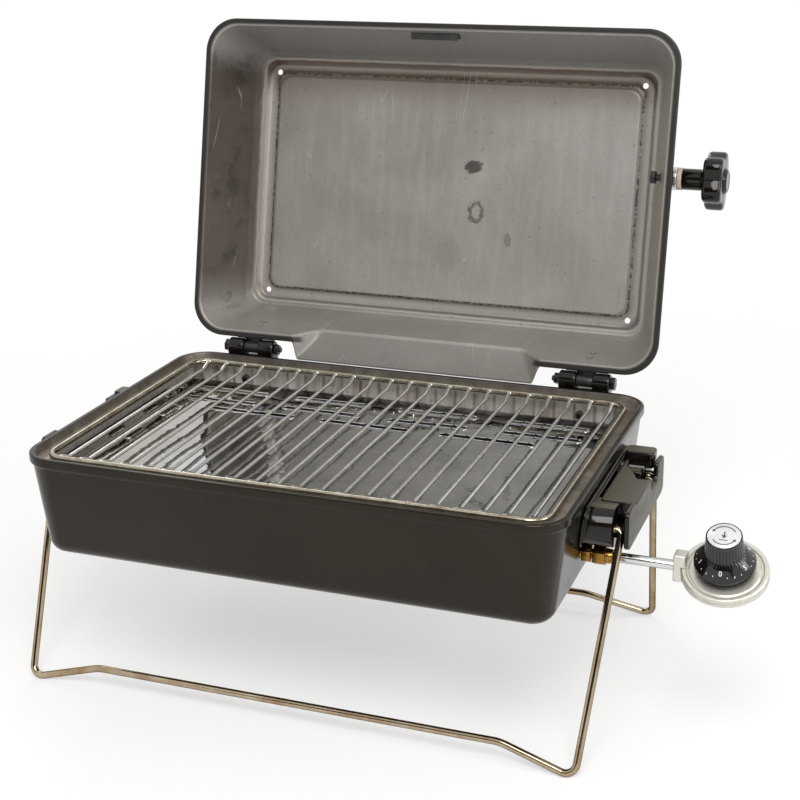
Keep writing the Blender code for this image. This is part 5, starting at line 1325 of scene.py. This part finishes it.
def makeHandle(s, side, word):
    # wall plate, two pivot bosses, thumb rest cut back round the rear boss, cheeks, and a notched
    # outer flange
    level, seat = s["plateMiddle"], wallFace(halfX, s["plateMiddle"]) + 0.3
    draft = fireboxSizes["draft"]
    axisY, axisZ = legPivot[1], legPivot[2]
    wide, high = s["plateHalf"]
    plate = slabX(roundedOutline(wide, high, 12, 10, (0, level)), seat, seat + s["plate"], 0.9)
    rib = slabX(roundedOutline(wide - 3.2, high - 3.2, 9.5, 10, (0, level)), seat + 1,
                seat + s["plate"] + 1.0, 0.8)
    patches = [leanedX(sheet, level, math.inf, draft) for sheet in (plate, rib)]
    inside = wallFace(halfX, axisZ) + 1.6
    share, reach = np.array(s["bossSection"]).T
    ring = circle(1.0, 72)
    for y in (-axisY, axisY):
        outer, bore = s["boss"] * ring + (y, s["bossMiddle"]), s["bore"] * ring + (y, axisZ)
        flat = bore[None] + (outer - bore)[None] * share[:, None, None]
        across = inside + (s["bossEnd"] - inside) * reach
        across = np.broadcast_to(across[:, None, None], flat.shape[:2] + (1,))
        boss = patch(np.concatenate([across, flat], -1), wrapRows=True)
        patches.append(leanedX(boss, axisZ, inside + 2, draft))
    top = s["top"]
    grip = softened(s["grip"], s["gripBends"], 5, True)
    patches.append(prism(grip, s["gripLow"], top, 1.4, 4))
    patches.append(prism(boxOutline(*s["deck"], 3, 6), *s["deckHeights"], 1.2, 4))
    reachY, end = s["cheeks"]
    for hand, cheekTop in ((-1, top - 1.2), (1, top - 5.0)):
        near, far = sorted(hand * y for y in reachY)
        cheek = boxOutline(inside, end, near, far, 3, 6)
        cheek = prism(cheek, s["cheekLow"], cheekTop, 2.2, 5)
        patches.append(leanedX(cheek, axisZ, inside + 2, draft))
    start, end = s["flange"]
    ear, (notchLow, notchHigh, notch) = s["ear"], s["notch"]
    (front, rear), (stepLow, stepHigh), foot = s["ends"], s["step"], s["foot"]
    outline = [(front, foot), (rear, foot), (rear, ear), (notchHigh, ear), (notchHigh - 1, notch),
               (notchLow + 2, notch), (notchLow, top - 0.4), (stepHigh, top - 0.4),
               (stepLow, ear), (front, ear)]
    patches.append(slabX(outline, start, end, 1.2, s["bends"], 7))
    block = [top + height for height in s["blockHeights"]]
    patches.append(prism(roundedOutline(*s["block"]), *block, 1.8, 5))
    runY, runZ, thick = s["legRun"]
    for hand, high in ((-1, axisZ - 1.5), (1, axisZ + 3)):
        lean = hand * (runY - axisY) / runZ
        foot = axisZ - 7
        upper, lower = [hand * axisY + lean * (axisZ - z) + thick * math.hypot(1, lean)
                        for z in (high, foot)]
        web = [(upper, high), (upper + 2.6, high), (lower + 2.6, foot), (lower, foot)]
        patches.append(slabX(web, s["bossEnd"] - 1.5, start + 1.5, 0.2))
    if side < 0:
        patches = [{**sheet, "grid": sheet["grid"] * (-1, 1, 1)} for sheet in patches]
    item = shape("handle", *patches)
    # the upward faces and the flange's outer face get the painted sheen finish
    paintUp(item, end - 0.2)
    return finishPiece(item, f"sideHandle{word}", "grill",
                       ("plastic", "topSheenPlastic"), (f"side_handle_{word}",), 34)


makeHandle(handleSizes, -1, "left")
makeHandle(handleSizes, 1, "right")
print("side handles made")

lidKnobSizes = {
    "spacer": (10.5, 231),
    "washer": (10.0, 235.3),
    "bore": 3.4,
    "stem": 9.6,
    "star": (256, 273),
    "radius": 27,
    "lobes": 5,
    "tip": 276,
    "bolt": 3.0,
    "boltHead": 6.5,
}


def makeLidKnob(s):
    # star outline: r = R (0.8 + 0.2 h ^ 0.8), h = (1 + cos(lobes t)) / 2
    y, z = lidKnobPlace
    wall, bore, stem = lidWall(halfX, z), s["bore"], s["stem"]

    def washer(start, size, radii):
        radius, end = size
        section = [(bore, start), (radius, start), (radius, end), (bore, end)]
        return revolvedX(section, y, z, radii)

    def lidPiece(name, finishName, sheets, replaced, sharpAngle=34):
        piece(name, "lid", (finishName,), opened(*sheets), (replaced,), sharpAngle)

    spacer = washer(wall + 0.3, s["spacer"], [0.1, 0.1, 0.7, 0.3])
    spacer = leanedX(spacer, z, wall + 2, -lidSizes["draft"])
    lidPiece("lidKnobSpacer", "zinc", [spacer], "lid_knob_spacer")
    spacerEnd, washerEnd = s["spacer"][1], s["washer"][1]
    lidPiece("lidKnobWasher", "fibre", [washer(spacerEnd + 0.3, s["washer"], 0.5)],
             "lid_knob_washer")
    angle = np.linspace(0, 2 * math.pi, 40 * s["lobes"], endpoint=False)
    lobe = 0.5 + 0.5 * np.cos(s["lobes"] * angle)
    radius = s["radius"] * (0.80 + 0.20 * lobe ** 0.8)
    outline = np.stack([y + radius * np.sin(angle), z + radius * np.cos(angle)], -1)
    start, end = s["star"]
    tip = s["tip"]
    section = [(bore, washerEnd + 0.3), (stem, washerEnd + 0.3), (stem, start - 3),
               (stem + 4, start + 1), (stem, start + 4), (bore, start + 4)]
    cap = [(poleRadius, end - 3), (12.6, end - 3), (13, end - 0.4), (12, end + 0.6),
           (10.4, tip - 0.9), (9.2, tip - 0.1), (7.6, tip - 0.5), (poleRadius, tip - 0.6)]
    lidPiece("lidKnobStar", "plastic",
             [slabX(outline, start, end, 3.2, None, 8),
              revolvedX(section, y, z, [0.3, 0.8, 3, 1, 0.5, 0.3], 5, 56),
              revolvedX(cap, y, z, [0, 0, 0.6, 1, 0.8, 0.6, 0.6, 0], 4, 56, False)], "lid_knob")
    lidPiece("lidKnobBolt", "darkZinc",
             [rod(s["bolt"], (wall - 5, y, z), (start + 5, y, z), 28),
              rod(s["boltHead"], (wall - 9.2, y, z), (wall - 4.6, y, z), 6, 0.6)],
             "lid_knob_bolt", 30)


makeLidKnob(lidKnobSizes)
print("lid knob made")

gasSizes = {
    "hex": 7.6,
    "hexLength": 7.5,
    "neck": 1.6,
    "thread": 4.8,
    "nut": 8.4,
    "nutLength": 10,
    "tube": 4.0,
    "tubeEnd": 299,
    "inletX": (295, 304.8),
    "inletHalf": (7, 11),
    "inletEdge": 1.5,
    # profiles (radius, distance along): the jet behind the wall, the nut's collar
    "jet": [(0, 0), (3.4, 0), (3.4, 1), (2.0, 8), (0, 8)],
    "collarOutside": [(6.2, 0), (6.0, 3), (5.6, 6)],
    "collarBends": [0.1, 0.1, 0.5, 0.6, 0.2],
}

regulatorSizes = {
    "edge": 33.2,
    "connector": 15,
    "connectorLength": 11,
    "socket": 12.7,
    "pitch": 1.4,
    "knurls": 48,
    "coverBends": [0.2, 0.8, 1.2, 1.6, 0.7, 0.5, 0.5, 0.7, 1.1, 1.1, 0.2, 0.2, 0.2, 0.2],
    "bodyBends": [0, 0, 0, 0, 0, 0.3, 1.0, 1.2, 2, 2, 1.5, 2, 0],
}


def makeGasLine(s):
    # brass fitting in the wall, its nut, the tube and the regulator's square inlet
    y, z = gasLine
    alongTube = (1, 0, 0)
    face = wallFace(halfX, z) + fireboxSizes["draft"] * s["hex"] + 0.3
    inner = wallFace(halfX, z) - fireboxSizes["sheet"]

    def place(x):
        return (x, y, z)

    end = face + s["hexLength"]
    start = end + s["neck"]
    fitting = [rod(s["hex"], place(face), place(end), 6, 0.7),
               rod(s["hex"] * 0.87 + 0.25, place(face + 0.15), place(end - 0.15), 48, 0.4),
               rod(s["thread"], place(inner - 8), place(face + 1), 32),
               rod(s["tube"], place(end - 1), place(start + 2), 40),
               along(solidLathe(s["jet"], 28), place(inner - 7), (-1, 0, 0))]
    piece("orificeFitting", "grill", ("brass",), fitting, ("orifice_fitting",), 26)
    middle = start + s["nutLength"]
    bore = s["tube"] + 0.4
    corners = prism(circle(s["nut"], 6), 0, s["nutLength"], 0.8)
    barrel = prism(circle(s["nut"] * 0.87 + 0.3, 56), 0.2, s["nutLength"] - 0.2, 0.5)
    nut = shape("nut", *[along(sheet, place(start), alongTube) for sheet in (corners, barrel)])
    pierced(nut, rod(bore + 0.05, place(start - 2), place(middle + 2), 48, 0.0))
    outside = s["collarOutside"]
    collar = [(bore, 0), *outside, (bore, outside[-1][1])]
    collar = lathe(softened(collar, s["collarBends"], 4, True), 56, True)
    collar = along(collar, place(middle - 0.4), alongTube)
    finishPiece(joined(nut, shape("collar", collar)), "tubeNut", "grill", ("brass",),
                ("tube_nut",), 26)
    piece("gasTube", "grill", ("tube",),
          [rod(s["tube"], place(start + 2.3), place(s["tubeEnd"]), 56)], ("gas_tube",), 40)
    (lowX, highX), (wide, high) = s["inletX"], s["inletHalf"]
    edge = s["inletEdge"]
    block = prism(boxOutline(lowX, highX, y - wide, y + wide, edge, 4), z - high, z + high, edge, 4)
    block = shape("inlet", block)
    body = prism(circle(regulatorSizes["edge"] + 0.3, 128), -9.4, 0.3, 0.0)
    pierced(block, rod(bore, place(lowX - 5), place(s["tubeEnd"] + 0.3), 48, 0.0), onKnobAxis(body))
    finishPiece(block, "regulatorInlet", "grill", ("cast",), ("regulator_inlet",), 30)


makeGasLine(gasSizes)


def makeRegulator(s):
    # two pressed halves with a crimped edge, and a screw connector under them
    def castPiece(name, sheet, replaced, sharpAngle=30):
        piece(name, "grill", ("cast",), [onKnobAxis(sheet)], (replaced,), sharpAngle)

    edge = s["edge"]
    cover = [(3.4, 1.4), (9.2, 1.4), (10.6, 0.6), (11.4, -0.4), (26.6, -0.5), (27.6, -1.4),
             (28.8, -1.4), (29.7, 0.0), (edge - 1, 0.0), (edge, -1), (edge, -3.8), (22, -3.8),
             (22, -1.6), (3.4, -1.6)]
    castPiece("regulatorCover", lathe(softened(cover, s["coverBends"], 5, True), 144, True),
              "regulator_cover")
    body = [(poleRadius, -11.8), (18, -11.8), (18, -11), (22, -11), (22, -4.1), (edge, -4.1),
            (edge, -6.9), (edge - 1, -7.9), (27, -8.9), (25.5, -11), (21, -12.8), (17, -13.2),
            (poleRadius, -13.2)]
    castPiece("regulatorBody", lathe(softened(body, s["bodyBends"], 5), 144), "regulator_body")
    top = -13.5
    low, roof = top - s["connectorLength"], top - 2.2
    radius, socket = s["connector"], s["socket"]
    height = np.arange(low + 1, roof - 0.8, 0.5)
    depth = 0.45 * (0.5 - 0.5 * np.cos(2 * math.pi * (height - low) / s["pitch"]))
    outside = [(poleRadius, top), (radius - 0.8, top), (radius, top - 0.8), (radius, low + 1),
               (radius - 1, low), (socket, low)]
    inside = [(socket, roof), (2.5, roof), (2.5, roof - 1.4), (poleRadius, roof - 1.8)]
    section = np.concatenate([outside, np.stack([socket - depth, height], -1), inside])
    sides = 4 * s["knurls"]
    knurled = np.zeros((len(section), 1))
    knurled[2:4] = 1
    knurl = 0.25 * np.cos(s["knurls"] * np.arange(sides) / sides * 2 * math.pi)[None] * knurled
    castPiece("cylinderConnector", lathe(section, sides, ripple=knurl), "cylinder_connector", 34)


makeRegulator(regulatorSizes)
print("gas line made")

dialSizes = {
    "lift": 5.0,
    "height": 31,
    "skirt": 23.5,
    "cap": 12.9,
    "grip": 15,
    "gripLow": 14.5,
    "flutes": 36,
    "fluteDepth": 0.55,
    "disc": 12.6,
    "numerals": "012345",
    "numeralSize": 5.4,
    "numeralRadius": 19.3,
    "tickRadius": 21.0,
    # the skirt's cone: how far it falls, and over how much radius
    "cone": (9.1, 8.0),
    "coneLow": 5.4,
    "arrows": ((35, 150), (215, 330)),
    "arrowRadii": (9.6, 8.7),
}


def makeDial(s):
    # skirt and fluted grip; a flute takes depth (1 - |cos(n t / 2)| ^ 0.6) off the grip's radius
    low, top = s["lift"], s["lift"] + s["height"]
    skirt, grip, cap = s["skirt"], s["grip"], s["cap"]
    gripTop = cap + 0.8
    rows = [(poleRadius, top - 0.8), (cap, top - 0.8), (cap, top), (cap + 0.3, top),
            (gripTop, top - 0.6)]
    steps = 8
    fall = top - 0.9 - low - s["gripLow"]
    rows += [(gripTop + (grip - gripTop) * k / steps, top - 0.9 - fall * k / steps)
             for k in range(1, steps + 1)]
    rows += [(grip + 0.9, low + 13.6), (grip + 2.6, low + 11.9), (grip + 3.1, low + 11.3),
             (skirt - 2.4, low + 7.8), (skirt - 0.6, low + 5.5), (skirt, low + 4.6),
             (skirt, low + 0.4), (skirt - 0.4, low), (skirt - 1.8, low), (skirt - 1.8, low + 4),
             (7, low + 5), (7, low), (3.3, low), (3.3, 14.3), (poleRadius, 14.3)]
    sides = s["flutes"] * 10
    angle = roundAngles(sides)
    flute = s["fluteDepth"] * (1 - np.abs(np.cos(s["flutes"] * angle / 2)) ** 0.6)
    fluted = np.zeros((len(rows), 1))
    fluted[5:5 + steps] = 1
    fluted[4], fluted[5 + steps] = 0.2, 0.6
    body = lathe(rows, sides, ripple=-fluted * flute[None])
    piece("controlKnob", "control_knob", ("dial",), [onKnobAxis(body)],
          ("control_knob",), 28)
    face, disc = top - 0.5, s["disc"]
    label = lathe([(poleRadius, face), (disc - 0.4, face), (disc, face + 0.3),
                   (disc - 0.5, face + 0.7), (poleRadius, face + 0.72)], 96)
    piece("knobLabel", "control_knob", ("label",), [onKnobAxis(label)],
          ("knob_label",), 40)


def textMesh(word, size, thick):
    # a word as a flat mesh, in millimetres, centred
    curve = bpy.data.curves.new("word", "FONT")
    curve.body, curve.size, curve.extrude = word, size, thick
    curve.align_x = curve.align_y = "CENTER"
    curve.offset = 0.012 * size
    item = newObject("word", curve)
    mesh = evaluatedMesh(item)
    bpy.data.objects.remove(item, do_unlink=True)
    return mesh


def placedMesh(mesh, columns, place):
    # millimetres to the dial's own frame, then the world: P = place + right x + up y + normal z
    points = np.empty(len(mesh.vertices) * 3)
    mesh.vertices.foreach_get("co", points)
    points = points.reshape(-1, 3) @ np.stack(columns) + place
    points = points @ frameOf(knobAxis).T + knobMiddle
    mesh.vertices.foreach_set("co", (points * mm + rimMiddle).astype(np.float32).ravel())
    return mesh


def onCone(s, angle, radius, lift=0.0):
    # right, up and normal on the skirt's cone at an angle, and the place at a radius
    fall, run = s["cone"]
    slope = math.atan2(fall, run)
    out = np.array([math.cos(angle), math.sin(angle), 0])
    up = np.array([0, 0, math.sin(slope)]) - out * math.cos(slope)
    normal = out * math.sin(slope) + np.array([0, 0, math.cos(slope)])
    height = s["lift"] + s["coneLow"] + (s["skirt"] - 0.5 - radius) * fall / run
    place = out * radius + np.array([0, 0, height]) + normal * lift
    return (np.cross(up, normal), up, normal), place


def makeMarks(s):
    # numerals round the skirt's cone with three ticks after each
    item = newObject("marks", bpy.data.meshes.new("marks"))
    count = len(s["numerals"])
    for index, word in enumerate(s["numerals"]):
        angle = math.radians(-90 - index * 360 / count)
        columns, place = onCone(s, angle, s["numeralRadius"], 0.10)
        mesh = placedMesh(textMesh(word, s["numeralSize"], 0.12), columns, place)
        item = joined(item, newObject("numeral", mesh))
        for step, halfLength in ((1, 0.7), (2, 1.1), (3, 0.7)):
            columns, place = onCone(s, angle - math.radians(step * 90 / count), s["tickRadius"])
            bar = prism(roundedOutline(0.35, halfLength, 0.1, 2), -0.3, 0.16, 0.05, 1)
            sheet = turned(bar, np.stack(columns, -1), shift=place)
            item = joined(item, shape("tick", onKnobAxis(sheet)))
    finishPiece(item, "dialMarks", "control_knob", ("mark",), (), 60)


def makeArrows(s):
    # two curved turn arrows and one push arrow on the disc
    outer, inner = s["arrowRadii"]
    outlines = []
    for first, last in s["arrows"]:
        angle = np.radians(np.linspace(first, last, 40))
        ring = onCircle(angle)
        end = ring[-1]
        tip, way = end * (outer + inner) / 2, np.array([-end[1], end[0]])
        outlines.append(np.concatenate([ring * outer, ring[::-1] * inner]))
        outlines.append([tip - end * 1.5, tip + end * 1.5, tip + way * 2.6])
    outlines.append(roundedOutline(0.55, 2.2, 0.1, 2, (0, 1.6)))
    outlines.append([(-2.2, 0.2), (0, -3.2), (2.2, 0.2)])
    outlines.append(roundedOutline(3.2, 0.4, 0.1, 2, (0, -4.6)))
    top = s["lift"] + s["height"] + 0.2
    marks = [onKnobAxis(prism(outline, top - 0.1, top + 0.12, 0.0, 1)) for outline in outlines]
    piece("labelMarks", "control_knob", ("ink",), marks, (), 60)


makeDial(dialSizes)
makeMarks(dialSizes)
makeArrows(dialSizes)
print("dial made")

stageSizes = {
    "floorReach": 6.0,
    "floorWhite": 0.96,
    "fade": (0.30, 1.3),
    "underWhite": 0.5,
    "roomLight": 0.55,
    "roomColour": (1.0, 0.985, 0.96, 1),
    "aim": (0.0, 0.0, 0.22),
    # name, place, side, power
    "lamps": [("mainLamp", (0.5, -1.3, 1.7), 1.1, 26.0),
              ("rearLamp", (-0.9, 1.2, 1.6), 0.9, 9.0),
              ("sideLamp", (1.7, -0.2, 1.0), 0.8, 9.0)],
    # an upright card that darkens what the front reflects: y and its low and high corners' x, z
    "card": (-2.6, (-1.4, 0.7), (2.0, 2.4)),
    "cardColour": (0.03, 0.027, 0.024),
}


def flatMesh(name, corners):
    mesh = bpy.data.meshes.new(name)
    mesh.from_pydata(corners, [], [(0, 1, 2, 3)])
    return mesh


def softBox(name, place, aim, size, power):
    # a square lamp that looks at the grill
    data = bpy.data.lights.new(name, "AREA")
    data.shape, data.size, data.energy = "SQUARE", size, power
    lamp = newObject(name, data)
    lamp.matrix_world = aimed(place, Vector(aim) - Vector(place))
    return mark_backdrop(lamp)


def seenDirectly(tree):
    # 1 for camera, glossy and transmission rays
    rays = tree.nodes.new("ShaderNodeLightPath")
    total = rays.outputs["Is Camera Ray"]
    for name in ("Is Glossy Ray", "Is Transmission Ray"):
        join = tree.nodes.new("ShaderNodeMath")
        join.operation = "MAXIMUM"
        tree.links.new(total, join.inputs[0])
        tree.links.new(rays.outputs[name], join.inputs[1])
        total = join.outputs[0]
    return total


def blended(tree, share, first, second):
    # a mix of two shaders by a share
    blend = tree.nodes.new("ShaderNodeMixShader")
    for socket, value in zip(blend.inputs, (share, first.outputs[0], second.outputs[0])):
        tree.links.new(value, socket)
    return blend.outputs[0]


def makeFloor(s):
    # away from the grill the floor is plain white to the camera and in reflections, so that it
    # has no horizon
    reach = s["floorReach"]
    mesh = flatMesh("floor", [(-reach, -reach, 0), (reach, -reach, 0), (reach, reach, 0),
                              (-reach, reach, 0)])
    n = Nodes("floorPaint")
    n.fixed(Base_Color=(s["floorWhite"],) * 3, Roughness=0.9, Specular_IOR_Level=0.1)
    away = n.between(n.length(n.place), *s["fade"], s["underWhite"], 1.0)
    share = n.times(away, seenDirectly(n.tree))
    seen = blended(n.tree, share, n.shader, n.add("ShaderNodeEmission"))
    n.tree.links.new(seen, n.tree.nodes["Material Output"].inputs["Surface"])
    mesh.materials.append(n.material)
    newObject("floor", mesh)


def makeRoom(s):
    # soft light from all round; plain white to the camera and in reflections
    world = bpy.data.worlds.new("studio")
    bpy.context.scene.world = world
    world.use_nodes = True
    tree = world.node_tree
    tree.nodes.clear()
    room, white = [tree.nodes.new("ShaderNodeBackground") for _ in range(2)]
    room.inputs["Color"].default_value = s["roomColour"]
    room.inputs["Strength"].default_value = s["roomLight"]
    white.inputs["Color"].default_value = (1, 1, 1, 1)
    out = tree.nodes.new("ShaderNodeOutputWorld")
    tree.links.new(blended(tree, seenDirectly(tree), room, white), out.inputs["Surface"])


def makeCard(s):
    # seen only in reflections
    y, (lowX, lowZ), (highX, highZ) = s["card"]
    mesh = flatMesh("frontCard", [(highX, y, lowZ), (lowX, y, lowZ), (lowX, y, highZ),
                                  (highX, y, highZ)])
    n = Nodes("frontCard")
    n.fixed(Base_Color=s["cardColour"], Roughness=0.8, Specular_IOR_Level=0.1)
    mesh.materials.append(n.material)
    card = newObject("frontCard", mesh)
    card.visible_camera = card.visible_diffuse = card.visible_shadow = False
    card.visible_transmission = False


def makeStage(s):
    bpy.context.scene.view_settings.view_transform = "Standard"
    makeFloor(s)
    makeRoom(s)
    makeCard(s)
    for name, place, size, power in s["lamps"]:
        softBox(name, place, s["aim"], size, power)


makeStage(stageSizes)
print("stage made")
